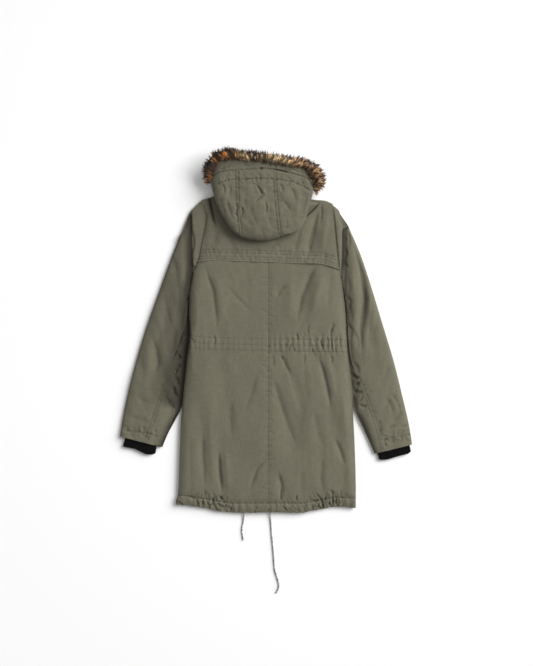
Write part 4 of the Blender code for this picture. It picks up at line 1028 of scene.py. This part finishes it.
def clothMaterial(name, turn):
    # turn is the warp's angle from the hem-to-hood line; the yarn is drawn 4 times as
    # coarse as its real half millimetre, so that it shows
    material, tree, shader = newMaterial(name, clothLook["colour"], clothLook["roughness"])
    place = ownPlace(tree)
    laid = addNode(tree, "ShaderNodeMapping", {}, Vector=place, Rotation=(0, 0, turn))
    slubs = (1 / clothLook["slubWidth"], 1 / clothLook["slubLength"])
    threads = []
    for across, along in (slubs, slubs[::-1]):  # warp, weft
        drawn = addNode(tree, "ShaderNodeMapping", {}, Vector=laid.outputs[0],
                        Scale=(across, along, 1))
        threads.append(addNode(tree, "ShaderNodeTexNoise", {}, Vector=drawn.outputs[0],
                               Scale=1.0, Detail=2.0, Roughness=0.6).outputs[0])
    yarn = addNode(tree, "ShaderNodeMath", {"operation": "ADD"}, _0=threads[0], _1=threads[1])
    blotch = addNode(tree, "ShaderNodeTexNoise", {}, Vector=place, Scale=7.0, Detail=3.0)
    tone = addNode(tree, "ShaderNodeMath", {"operation": "MULTIPLY_ADD"},
                   _0=blotch.outputs[0], _1=0.5, _2=yarn.outputs[0])
    ramp = addNode(tree, "ShaderNodeValToRGB", {}, Fac=addNode(
        tree, "ShaderNodeMath", {"operation": "MULTIPLY_ADD"}, _0=tone.outputs[0], _1=1.0,
        _2=-0.75).outputs[0])
    for element, shade, at in zip(ramp.color_ramp.elements, ("dark", "light"), (0.05, 0.95)):
        element.color = opaque(clothLook[shade])
        element.position = at
    # painted shade: the number kept on the cloth's points darkens its colour towards the shade
    # colour
    paintedShade = addNode(tree, "ShaderNodeAttribute", {"attribute_name": "paintedShade"})
    shaded = addNode(tree, "ShaderNodeMix", {"data_type": "RGBA", "blend_type": "MIX"})
    tree.links.new(addNode(tree, "ShaderNodeMath", {"operation": "MULTIPLY"},
                           _0=paintedShade.outputs["Fac"], _1=0.97).outputs[0], shaded.inputs[0])
    tree.links.new(ramp.outputs[0], shaded.inputs[6])
    shaded.inputs[7].default_value = opaque(clothLook["shade"])
    tree.links.new(shaded.outputs[2], shader.inputs["Base Color"])
    addBump(tree, shader, yarn.outputs[0], 0.20, 0.0004)
    shader.inputs["Sheen Weight"].default_value = 0.12
    shader.inputs["Sheen Roughness"].default_value = 0.5
    shader.inputs["Sheen Tint"].default_value = opaque(clothLook["sheen"])
    shader.inputs["Specular IOR Level"].default_value = 0.25
    return material


bodyCloth = clothMaterial("oliveCanvasBody", 0)
sleeveCloth = {side: clothMaterial(f"oliveCanvas{side.title()}Sleeve",
                                   math.radians(clothLook["sleeveTurn"] * hand))
               for side, hand in hands.items()}
for node, piece in clothPieces.items():
    cloth = bodyCloth
    if node.startswith("sleeve"):
        cloth = sleeveCloth[node.split("_")[1]]
    piece.data.materials.append(cloth)

# Shade that gathers in seams, in the bottoms of creases and in the groove beside the back,
# kept as a number on the cloth's points


grooveShades = {
    # the groove's upper end and how it fades there, its shade, how much less where the sleeve
    # lies free of the back and more beside the armhole, and how it falls off
    -1: {"top": 0.337, "fade": 0.02, "shade": 1.9, "freeLess": 0.5, "armholeMore": 0,
         "wide": 0.20, "wideReach": 0.095, "power": 1.7},
    1: {"top": 0.295, "fade": 0.006, "shade": 0.62, "freeLess": 0.10, "armholeMore": 0.75,
        "wide": 0.08, "wideReach": 0.036, "power": 2.0},
}
leftReach = ([-0.12, -0.04, 0.03, 0.13, 0.20, 0.33], [0.050, 0.040, 0.030, 0.022, 0.016, 0.012])


def grooveShade(x, y, hand):
    # wide is a faint shade further out; free is 1 where the sleeve lies free of the back
    past = besideInner(x, y, hand)
    outer = np.maximum(past, 0)
    seamAt = besideBody(x, y, hand)
    inner = np.maximum(-seamAt, 0)
    look = grooveShades[hand]
    free = smoothStep((-0.195 - y) / 0.05)
    armhole = smoothStep((y - 0.16) / 0.03)
    if hand < 0:
        reach = np.interp(y, *leftReach) - 0.040 * free
    else:
        reach = 0.008 + 0.010 * smoothStep((-0.06 - y) / 0.08) - 0.008 * free + 0.003 * armhole
    depth = smoothStep((look["top"] - y) / look["fade"]) * (
        look["shade"] - look["freeLess"] * free + look["armholeMore"] * armhole)
    wide = look["wide"] * bell(outer / look["wideReach"]) * smoothStep((y + 0.2) / 0.15)
    # painted shade in the groove beside the back, past the sleeve's fold
    side = depth * np.maximum(np.exp(-((outer / reach) ** look["power"])), wide)
    side *= smoothStep((past + 0.0010) / 0.0016)  # only beyond the fold
    # painted shade on the back just inside its side edge
    edge = 0.40 * depth * bell(inner / 0.0050) * smoothStep(
        (y + 0.30) / 0.06) * smoothStep((0.19 - y) / 0.04)
    # painted shade along the armhole seam, and on the right along the shoulder's edge
    seam = 1.3 * bell(seamAt / 0.0019) * smoothStep((y - armpit) / 0.02)
    if hand > 0:
        away, share, _ = alongPath(x, y, shoulderLine)
        seam += 1.8 * share * bell(away / 0.0020)
    return np.where(seamAt > 0, side, edge) + seam * smoothStep((0.36 - y) / 0.04)


# painted shadow lines: beside the hood, along the nape's edge and under the yoke's lower edge
foldShades = {  # dark lines by the hood and under the yoke: path, width, strength at its ends
    "cloth_back_yoke": [
        ([(-0.1600, 0.3700), (-0.1530, 0.3340), (-0.1442, 0.2960)], 0.0042, 1.6, 0.1),
        ([(0.1480, 0.3550), (0.1340, 0.3410), (0.1140, 0.3210)], 0.0017, 0.5, 2.2)],
    "cloth_back_right": [
        ([(x, y - 0.0012) for x, y in bodyLines["yokeSeam"] if 0.05 < x], 0.0017, 0.4, 1.8)],
    "cloth_back_left": [
        ([(x, y - 0.0012) for x, y in bodyLines["yokeSeam"] if x < -0.12], 0.0016, 1.4, 0.5)],
}


# paints shade into the cloth's colour: along stitches, in hollows, in the hood's slit, along
# shadow lines and in the groove beside the back
def markPaintedShade(piece, rows, relief, hand=0, shadeRows=0.16, slitShade=0.0):
    # shadeRows is the strength of the painted shade along stitches; the last argument is that of
    # the painted shade in the hood's slit
    points, normals = readPoints(piece)
    x, y = points[:, 0], points[:, 1]
    value = np.zeros(len(points))
    for row in rows:
        value = np.maximum(value, shadeRows * bell(alongPath(x, y, row)[0] / 0.0014))
    # painted shade in the bottoms of creases and hollows, by how much lower a point lies than its
    # surroundings
    step = 0.0045  # a hollow lies lower than its surroundings at this distance
    around = (relief(x + step, y) + relief(x - step, y) + relief(x, y + step)
              + relief(x, y - step)) / 4
    value += np.clip((around - relief(x, y)) / 0.0040, -0.06, 0.36)
    # painted shade in the slit under the hood's edge, and in its notch
    if slitShade:
        away = alongPath(x, y, slit)[0]
        value += slitShade * np.interp(x, *slitGape) * bell(away / 0.0024)
        value += 3 * spot(x, y, notch, 0.0028, 0.0026)
    # the yoke's far corner by the hood lies in its shade
    value += 0.22 * smoothStep((y - x - 0.2065) / 0.002) * smoothStep((x - 0.09) / 0.02)
    for path, wide, start, end in foldShades.get(piece.name, ()):
        away, share, _ = alongPath(x, y, path)
        value += (start + (end - start) * share) * bell(away / wide)
    for side in ((hand,) if hand else (-1, 1)):
        value += grooveShade(x, y, side)
    value = 1 - np.exp(-1.35 * np.maximum(value, 0)) * (1 + 0.1 * np.minimum(value, 0))
    value *= smoothStep((normals[:, 2] + 0.5) / 0.3)
    layer = piece.data.attributes.new("paintedShade", "FLOAT", "POINT")
    layer.data.foreach_set("value", value.astype(np.float32))


allHood = hoodRows["left"] + hoodRows["right"] + hoodRows["edge"]
for node, piece in clothPieces.items():
    if node in ("back_left", "back_right"):
        rows = stitchRows["waist"] + stitchRows["hem"][:1] + [bodyLines["centreBack"]]
        markPaintedShade(piece, rows, bodyRelief, shadeRows=0.10)
    elif node == "back_yoke":
        markPaintedShade(piece, stitchRows["yoke"] + stitchRows["armholes"], yokeRelief)
    elif node.startswith("sleeve"):
        hand = hands[node.split("_")[1]]
        markPaintedShade(piece, stitchRows["sleeve" + str(hand)], sleeveReliefs[hand], hand)
    elif node.startswith("hood_") and node != "hood_nape":
        markPaintedShade(piece, allHood, hoodRelief, shadeRows=0.26, slitShade=0.60)
    elif node == "fur_strip":
        markPaintedShade(piece, [], stripRelief, slitShade=0.35)
    else:
        markPaintedShade(piece, [], flat)
print("cloth coloured")

# Topstitching: one joined mesh of short flat stitches per group of rows

stitchLook = {"long": 0.0030, "gap": 0.0014, "wide": 0.0008, "high": 0.0004}


def stitchPiece(name, rows, pieces):
    tree = surfaceOf(pieces)
    points, faces = [], []
    pitch = stitchLook["long"] + stitchLook["gap"]
    for row in rows:
        route = np.array(row)
        run = runAlong(route)
        for start in np.arange(0.001, run[-1] - pitch, pitch):
            ends = []
            for s in (start, start + stitchLook["long"]):
                x, y = (float(np.interp(s, run, route[:, k])) for k in range(2))
                ends.append(tree.ray_cast(Vector((x, y, 0.2)), Vector((0, 0, -1)))[:2])
            if any(e[0] is None or e[1].z < 0.25 for e in ends):
                continue
            (a, normalA), (b, normalB) = ends
            if abs(a.z - b.z) > 0.004:
                continue
            along = (b - a).normalized()
            up = (normalA + normalB).normalized()
            across = along.cross(up).normalized() * stitchLook["wide"] / 2
            middle = (a + b) / 2
            base = len(points)
            points += [a - up * 0.0001, b - up * 0.0001, middle + across, middle - across,
                       middle + up * stitchLook["high"], middle - up * stitchLook["high"] / 2]
            for side, nextSide in ((2, 4), (4, 3), (3, 5), (5, 2)):
                faces.append((base, base + side, base + nextSide))
                faces.append((base + 1, base + nextSide, base + side))
    piece = meshPiece(name, points, faces)
    faceOutwards(piece)
    piece.data.materials.append(threadCloth)
    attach(piece, "root")
    print("stitches", name, len(points) // 6)


threadCloth, threadTree, threadShader = newMaterial("polyesterThread", clothLook["thread"], 0.6)
fibre = addNode(threadTree, "ShaderNodeTexNoise", {}, Scale=900.0, Vector=ownPlace(threadTree))
addBump(threadTree, threadShader, fibre.outputs[0], 0.4, 0.0002)
bodyTop = [clothPieces[n] for n in ("back_left", "back_right", "back_yoke")]
stitchPiece("stitches_yoke", stitchRows["yoke"] + stitchRows["armholes"], bodyTop)
stitchPiece("stitches_back", stitchRows["centreBack"] + stitchRows["waist"]
            + stitchRows["hem"], bodyTop[:2])
for side, hand in hands.items():
    stitchPiece(f"stitches_sleeve_{side}", stitchRows["sleeve" + str(hand)],
                [clothPieces[f"sleeve_{side}_{part}"] for part in ("top", "under")])
stitchPiece("stitches_hood", allHood, [clothPieces[n] for n in (
    "hood_centre", "hood_side_left", "hood_side_right")])

# Rib cuffs: knitted tubes, folded double at their ends

cuffLook = {  # the last two: shares of the width, and how far the cuff's end hangs down there
    "colour": "#0d0d0e", "sheen": "#4a4a4e", "ribPitch": 0.0042, "ribDepth": 0.0006,
    "turn": 19,
    "left": ([0, 0.10, 0.40, 0.60, 0.78, 0.94, 1.0],
             [0.002, 0.005, 0.003, 0.007, 0.010, 0.006, 0.001]),
    "right": ([0, 0.10, 0.25, 0.55, 0.85, 1.0], [-0.002, 0.002, 0.004, 0.002, 0.002, -0.004]),
}


def knitMaterial():
    # acrylic rib knit, loops standing in columns: nearly black, very matte, a faint fuzz
    material, tree, shader = newMaterial("acrylicRibKnit", cuffLook["colour"], 0.95)
    loops = addNode(tree, "ShaderNodeTexVoronoi", {}, Vector=ownPlace(tree), Scale=620.0)
    addBump(tree, shader, loops.outputs[0], 0.6, 0.0006)
    shader.inputs["Sheen Weight"].default_value = 0.12
    shader.inputs["Sheen Tint"].default_value = opaque(cuffLook["sheen"])
    shader.inputs["Specular IOR Level"].default_value = 0.1
    return material


knit = knitMaterial()
for side, hand in hands.items():
    cuff = solidCopy("cuff_" + side, "knit_cuff_" + side)
    holdRims(cuff, 75)
    roundOff(cuff)
    refine(cuff, 7, 0.72)
    points, normals = readPoints(cuff)
    turn = math.radians(cuffLook["turn"] * hand)
    across = points[:, 0] * math.cos(turn) + points[:, 1] * math.sin(turn)
    ribs = np.sin(across * 2 * math.pi / cuffLook["ribPitch"])
    points += normals * (cuffLook["ribDepth"] * ribs)[:, None]
    t = (across - across.min()) / (across.max() - across.min())
    down = -points[:, 0] * math.sin(turn) + points[:, 1] * math.cos(turn)
    low = smoothStep((down.max() - 0.012 - down) / 0.018)
    drop = np.interp(t, *cuffLook[side]) * low
    points[:, 0] += drop * math.sin(turn)
    points[:, 1] -= drop * math.cos(turn)
    writePoints(cuff, points)
    cuff.data.shade_smooth()
    cuff.data.materials.append(knit)
    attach(cuff, "root")
    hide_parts("cuff_" + side)
print("cuffs knitted")

# Faux fur: locks of curved strands that draw together at their tips and lie away from the
# hood, dark at the root and golden or cream further up, with thin dark guard hairs beyond

furLook = {
    "locks": 800, "strands": 44, "spikes": 420, "hairs": 8, "pieces": 3,
    "long": (0.0170, 0.0260), "reach": (-0.0095, -0.0015), "lockWide": 0.0025,
    "tipWide": 0.0008, "strandWide": 0.00032, "coreSink": 0.0110,
    "tail": (-0.0100, -0.0200, -0.006),  # how far the right end's locks are drawn down
    "root": "#432d1a", "core": "#1d140d", "dark": "#1b130d", "brown": "#6b4829",
    "left": "#ec9f48", "middle": "#f7d7a2", "right": "#c39a70", "cream": "#fff0cf",
    "patches": ((-0.090, 0.494, 0.010), (-0.003, 0.500, 0.010), (-0.036, 0.506, 0.009),
                (-0.160, 0.440, 0.009), (-0.128, 0.498, 0.009), (0.150, 0.430, 0.009)),
}
hoodMiddle = (-0.008, 0.375)  # the fur lies away from it


def furMaterial(name, roughness):
    # modacrylic pile: fine fibres with a soft gloss, dyed in bands along their length
    material, tree, shader = newMaterial(name, furLook["brown"], roughness)
    colour = addNode(tree, "ShaderNodeAttribute", {"attribute_name": "dye"})
    tree.links.new(colour.outputs["Color"], shader.inputs["Base Color"])
    shader.inputs["Sheen Weight"].default_value = 0.15
    shader.inputs["Specular IOR Level"].default_value = 0.30
    return material


def writeDye(mesh, colours):
    full = np.ones((len(mesh.vertices), 4), dtype=np.float32)
    full[:, :3] = colours
    dye = mesh.color_attributes.new("dye", "FLOAT_COLOR", "POINT")
    dye.data.foreach_set("color", full.ravel())


def furPlaces(core, count, random):
    # places spread evenly over the roll's upper and outer sides, with their normals and the
    # direction away from the hood
    mesh = core.data
    mesh.calc_loop_triangles()
    corners = np.array([t.vertices[:] for t in mesh.loop_triangles])
    points, normals = readPoints(core)
    a, b, c = (points[corners[:, k]] for k in range(3))
    area = np.linalg.norm(np.cross(b - a, c - a), axis=1) / 2
    pick = random.choice(len(corners), count * 4, p=area / area.sum())
    u, v = random.random(count * 4), random.random(count * 4)
    over = u + v > 1
    u[over], v[over] = 1 - u[over], 1 - v[over]
    weight = np.stack([1 - u - v, u, v], axis=1)[:, :, None]
    place = (points[corners[pick]] * weight).sum(axis=1)
    outward = unit((normals[corners[pick]] * weight).sum(axis=1))
    away = place - np.array([*hoodMiddle, 0])
    away[:, 2] = 0
    away = unit(away)
    facing = (outward * away).sum(axis=1)
    x = place[:, 0]
    keep = np.flatnonzero((outward[:, 2] > -0.35) & (place[:, 2] > 0.005) & (
        facing > -0.50 - 0.5 * (x > 0.125) + 0.25 * (x < -0.12)))
    keep = keep[:count]
    return place[keep], outward[keep], away[keep], facing[keep]


def mixed(a, b, share):
    share = np.asarray(share)[..., None]
    return a * (1 - share) + b * share


def lockDyes(place, facing, random):
    # the colours of each lock half way up and at its tip; locks that lie behind one
    # another, seen from the hood, share their dye, so that it shows as streaks
    dye = {k: np.array(linear(furLook[k])) for k in (
        "root", "dark", "brown", "left", "middle", "right", "cream")}
    x, y = place[:, 0], place[:, 1]
    bright = mixed(mixed(dye["left"], dye["middle"], smoothStep((x + 0.115) / 0.055)),
                   dye["right"], smoothStep((x - 0.035) / 0.070))
    acrossHood, alongHood = x - hoodMiddle[0], y - hoodMiddle[1]
    turn = 0.13 * np.arctan2(acrossHood, alongHood)
    far = np.hypot(acrossHood, alongHood)
    streak = 0.62 * cloud(turn, far * 0.22, 0.0058, 85) + 0.38 * cloud(turn, far * 0.3, 0.0026, 86)
    streak *= 1 - 0.6 * smoothStep((x - 0.04) / 0.05)
    patches = sum(np.exp(-(((x - px) ** 2 + (y - py) ** 2) / size ** 2))
                  for px, py, size in furLook["patches"])  # dark ones: x, y and size
    outer = smoothStep((facing - 0.05) / 0.70)
    dull = (0.25 - 0.12 * (x > 0.09) + 0.34 * outer + 0.85 * patches - 1.05 * streak
            + 0.35 * cloud(x, y, 0.012, 87) + random.normal(0, 0.16, len(x)))
    dull = smoothStep((dull - 0.10) / (0.55 + 0.35 * smoothStep((x + 0.12) / 0.04)))
    tone = (random.uniform(0.85, 1.25, len(x)) + 0.35 * streak - 0.10 * (x > 0.06))[:, None]
    half = mixed(bright * tone, dye["brown"], dull)
    half = mixed(half, dye["dark"], 0.75 * np.maximum(dull - 0.35, 0))
    pale = np.clip((streak + 0.1) * 1.2, 0, 0.7) * np.interp(
        x, [-0.17, -0.09, -0.05, 0.04, 0.08], [0.3, 0.5, 1.0, 0.8, 0.35])
    tip = mixed(mixed(half, dye["cream"], pale), dye["dark"],
                np.maximum(smoothStep((dull - 0.1) / 0.5), 0.5 * outer))
    return half, tip


def strandMesh(name, rootAt, kneeAt, tipAt, wide, rootDye, kneeDye, tipDye):
    # three-sided strands with one knee, as one joined mesh
    count = len(rootAt)
    ahead = unit(tipAt - rootAt)
    side = unit(np.cross(ahead, (0.31, 0.52, 0.79)))
    up = np.cross(ahead, side)
    rings = []
    for centre, share in ((rootAt, 1.0), (kneeAt, 0.85)):
        for k in range(3):
            angle = k * 2 * math.pi / 3
            rings.append(centre + (side * math.cos(angle) + up * math.sin(angle))
                         * wide[:, None] * share)
    rings.append(tipAt)
    strands = np.stack(rings, axis=1)
    colours = np.stack([rootDye] * 3 + [kneeDye] * 3 + [tipDye], axis=1)
    pattern = [(0, 2, 1), (3, 4, 6), (4, 5, 6), (5, 3, 6)]
    for k in range(3):
        j = (k + 1) % 3
        pattern += [(k, j, 3 + j), (k, 3 + j, 3 + k)]
    faces = (np.array(pattern)[None] + (np.arange(count) * 7)[:, None, None]).reshape(-1, 3)
    mesh = bpy.data.meshes.new(name)
    mesh.vertices.add(count * 7)
    mesh.vertices.foreach_set("co", strands.astype(np.float32).ravel())
    mesh.loops.add(len(faces) * 3)
    mesh.loops.foreach_set("vertex_index", faces.astype(np.int32).ravel())
    mesh.polygons.add(len(faces))
    mesh.polygons.foreach_set("loop_start", np.arange(0, len(faces) * 3, 3, dtype=np.int32))
    mesh.update(calc_edges=True)
    writeDye(mesh, colours.reshape(-1, 3))
    mesh.shade_smooth()
    piece = addObject(name, mesh)
    mesh.materials.append(pile)
    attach(piece, "root")


def growLocks(core, random):
    # for each strand: root, knee, tip, width, and the dye at those three
    place, outward, away, facing = furPlaces(core, furLook["locks"], random)
    x, y = place[:, 0], place[:, 1]
    count, each = len(place), furLook["strands"]
    drift = random.normal(0, 1, (count, 3)) * (1, 1, 0.6)
    drift += np.stack([cloud(x, y, 0.016, seed) for seed in (81, 82, 83)], 1)
    comb = outward * 0.34 + away * 0.86 + drift * 0.17
    comb[:, 1] -= 1.1 * smoothStep((0.425 - y) / 0.04)  # down, at both lower ends
    comb[:, 0] -= 0.5 * smoothStep((0.410 - y) / 0.03) * (x > 0)
    tipAt = place + outward * random.uniform(*furLook["reach"], count)[:, None]
    tipAt += away * (0.0030 * np.maximum(-facing, 0))[:, None]
    tipAt -= outward * (0.0065 * smoothStep((-0.145 - x) / 0.02))[:, None]
    tail = smoothStep((0.415 - y) / 0.02) * (x > 0) * random.random(count) ** 0.6
    tipAt += np.array(furLook["tail"]) * tail[:, None]
    rootAt = tipAt - unit(comb) * random.uniform(*furLook["long"], count)[:, None]
    half, tip = (np.repeat(dye, each, axis=0) for dye in lockDyes(place, facing, random))
    total = count * each
    tipAt, rootAt, outward = (np.repeat(values, each, axis=0)
                              for values in (tipAt, rootAt, outward))
    tipAt = tipAt + random.normal(0, furLook["tipWide"], (total, 3)) * 0.7
    rootAt = rootAt + random.normal(0, furLook["lockWide"], (total, 3)) * 0.7
    tipAt -= (tipAt - rootAt) * (random.random(total) ** 1.4 * 0.42)[:, None]
    kneeAt = (rootAt * 0.45 + tipAt * 0.55 + outward * 0.0018
              + random.normal(0, 0.0007, (total, 3)))
    bright = (random.uniform(0.74, 1.24, total) + 0.7 * (random.random(total) < 0.07))[:, None]
    rootDye = mixed(half, np.array(linear(furLook["root"])), 0.75) * bright
    return (rootAt, kneeAt, tipAt, np.full(total, furLook["strandWide"]), rootDye,
            half * bright, tip * bright)


def growHairs(core, random):
    # guard hairs in thin spikes, mostly dark, as growLocks returns them
    place, outward, away, facing = furPlaces(core, furLook["spikes"], random)
    half, tip = lockDyes(place, facing, random)
    count, each = len(place), furLook["hairs"]
    total = count * each
    comb = outward * 0.35 + away * 0.85 + random.normal(0, 0.26, (count, 3))
    comb[:, 1] -= 0.9 * smoothStep((0.425 - place[:, 1]) / 0.04)
    comb = unit(comb)
    tipAt = place + comb * random.uniform(-0.0040, 0.0055, count)[:, None]
    rootAt = place - comb * random.uniform(0.013, 0.018, count)[:, None]
    tipAt, rootAt, outward = (np.repeat(values, each, axis=0)
                              for values in (tipAt, rootAt, outward))
    tipAt = tipAt + random.normal(0, 0.0004, (total, 3))
    rootAt = rootAt + random.normal(0, 0.0013, (total, 3))
    tipAt -= (tipAt - rootAt) * (random.random(total) * 0.3)[:, None]
    kneeAt = rootAt * 0.45 + tipAt * 0.55 + outward * 0.0014
    dark = np.broadcast_to(np.array(linear(furLook["dark"])), (count, 3))
    fair = (random.random(count) < 0.28)[:, None]
    dyes = (dark, np.where(fair, half, mixed(half, dark, 0.75)), np.where(fair, tip, dark))
    return (rootAt, kneeAt, tipAt, np.full(total, furLook["strandWide"] * 1.25),
            *(np.repeat(dye, each, axis=0) for dye in dyes))


def growFur():
    random = np.random.default_rng(5)
    core = solidCopy("fur_trim", "fur_core")
    holdRims(core, 90)
    core.data.shade_smooth()
    grown = [np.concatenate(pair) for pair in zip(growLocks(core, random),
                                                  growHairs(core, random))]
    order = np.flatnonzero(np.minimum(grown[0][:, 2], grown[2][:, 2]) > 0.0015)
    for n in range(furLook["pieces"]):
        part = order[n::furLook["pieces"]]
        strandMesh(f"fur_pile_{n + 1}", *(values[part] for values in grown))
    points, normals = readPoints(core)
    points -= normals * furLook["coreSink"]
    points[:, 2] = np.maximum(points[:, 2], 0.0005)
    writePoints(core, points)
    writeDye(core.data, linear(furLook["core"]))
    core.data.materials.append(pile)
    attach(core, "root")
    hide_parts("fur_trim")


pile = furMaterial("modacrylicPile", 0.55)
growFur()
print("fur grown")

# Front zip and patch

plainLook = {"zip": "#1b1b1c", "leather": "#4e2818", "leatherDark": "#3c1d11",
             "leatherLight": "#633620"}
zipBlack, zipTree, zipShader = newMaterial("mouldedZip", plainLook["zip"], 0.4)
# moulded plastic and tape: black, with the fine weave of the tape breaking the gloss
weave = addNode(zipTree, "ShaderNodeTexWave", {"wave_type": "BANDS", "bands_direction": "Y"},
                Vector=ownPlace(zipTree), Scale=260.0)
addBump(zipTree, zipShader, weave.outputs["Fac"], 0.5, 0.0004)
teeth = solidCopy("front_zip", "zip_front")
teeth.data.materials.append(zipBlack)
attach(teeth, "root")
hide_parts("front_zip")

leather, leatherTree, leatherShader = newMaterial("vegetableTannedLeather",
                                                  plainLook["leather"], 0.5)
# vegetable-tanned leather: dark russet, a pebbled grain and uneven dye
leatherPlace = ownPlace(leatherTree)
grain = addNode(leatherTree, "ShaderNodeTexVoronoi", {}, Vector=leatherPlace, Scale=900.0)
addBump(leatherTree, leatherShader, grain.outputs[0], 0.5, 0.0003)
dyeBlots = addNode(leatherTree, "ShaderNodeTexNoise", {}, Vector=leatherPlace, Scale=160.0)
dyeMix = addNode(leatherTree, "ShaderNodeMix", {"data_type": "RGBA"},
                 Factor=dyeBlots.outputs["Fac"])
dyeMix.inputs[6].default_value = opaque(plainLook["leatherDark"])
dyeMix.inputs[7].default_value = opaque(plainLook["leatherLight"])
leatherTree.links.new(dyeMix.outputs[2], leatherShader.inputs["Base Color"])
patch = solidCopy("sleeve_patch", "leather_patch")
patch.data.materials.append(leather)
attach(patch, "root")
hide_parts("sleeve_patch")

# Braided cotton cord, mottled grey: two families of crossing strands wound round it


def cordMaterial():
    material, tree, shader = newMaterial("cottonBraid", cordLook["base"], 0.8)
    uv = addNode(tree, "ShaderNodeUVMap", {"uv_map": "braid"}).outputs[0]
    heights = []
    for turn in (1, -1):
        wound = addNode(tree, "ShaderNodeMapping", {}, Vector=uv,
                        Scale=(turn * 4.0, 1 / cordLook["braidPitch"] * 2, 1))
        split = addNode(tree, "ShaderNodeSeparateXYZ", {}, Vector=wound.outputs[0])
        both = addNode(tree, "ShaderNodeMath", {"operation": "ADD"}, _0=split.outputs[0],
                       _1=split.outputs[1])
        wave = addNode(tree, "ShaderNodeMath", {"operation": "SINE"}, _0=addNode(
            tree, "ShaderNodeMath", {"operation": "MULTIPLY"}, _0=both.outputs[0],
            _1=2 * math.pi).outputs[0])
        heights.append(wave.outputs[0])
    braid = addNode(tree, "ShaderNodeMath", {"operation": "MAXIMUM"}, _0=heights[0],
                    _1=heights[1])
    fleck = addNode(tree, "ShaderNodeTexNoise", {}, Scale=260.0, Detail=2.0,
                    Vector=ownPlace(tree))
    ramp = addNode(tree, "ShaderNodeValToRGB", {}, Fac=fleck.outputs[0])
    ramp.color_ramp.interpolation = "CONSTANT"
    ramp.color_ramp.elements[0].color = opaque(cordLook["dark"])
    ramp.color_ramp.elements[1].color = opaque(cordLook["grey"])
    ramp.color_ramp.elements[1].position = 0.46
    ramp.color_ramp.elements.new(0.60).color = opaque(cordLook["pale"])
    tree.links.new(ramp.outputs[0], shader.inputs["Base Color"])
    addBump(tree, shader, braid.outputs[0], 0.8, 0.0004)
    return material


braid = cordMaterial()
for cord in cords:
    cord.data.materials.append(braid)

# Floor and light

stageLook = {
    "floor": "#f7f7f7", "floorSize": 12, "sky": 0.265,
    "sun": {"towards": (-0.72, -0.43, -0.545), "strength": 3.6, "soft": 48},
    "lamps": {
        "side": {"place": (1.5, 0.6, 1.2), "size": 0.8, "watts": 10},
        "top": {"place": (-0.1, 0.2, 2.6), "size": 2.6, "watts": 11},
    },
}
floorMaterial, _, floorShader = newMaterial("whitePaper", stageLook["floor"], 0.9)
floorShader.inputs["Specular IOR Level"].default_value = 0.0
bpy.ops.mesh.primitive_plane_add(size=stageLook["floorSize"], location=(0, 0, -0.0002))
floor = bpy.context.object
floor.name = "floor"
floor.data.materials.append(floorMaterial)



def pointAlong(lamp, direction):
    lamp.rotation_euler = Vector(direction).to_track_quat("-Z", "Y").to_euler()


sunData = bpy.data.lights.new("softSun", "SUN")
sunData.energy = stageLook["sun"]["strength"]
sunData.angle = math.radians(stageLook["sun"]["soft"])
pointAlong(addObject("softSun", sunData), stageLook["sun"]["towards"])
for name, look in stageLook["lamps"].items():
    data = bpy.data.lights.new(name, "AREA")
    data.size = look["size"]
    data.energy = look["watts"]
    lamp = addObject(name, data)
    lamp.location = look["place"]
    pointAlong(lamp, -Vector(look["place"]))
world = bpy.data.worlds.new("studio")
world.use_nodes = True
world.node_tree.nodes["Background"].inputs[0].default_value = (1, 1, 1, 1)
world.node_tree.nodes["Background"].inputs[1].default_value = stageLook["sky"]
bpy.context.scene.world = world
bpy.context.scene.view_settings.view_transform = "Standard"
print("floor and lights placed")
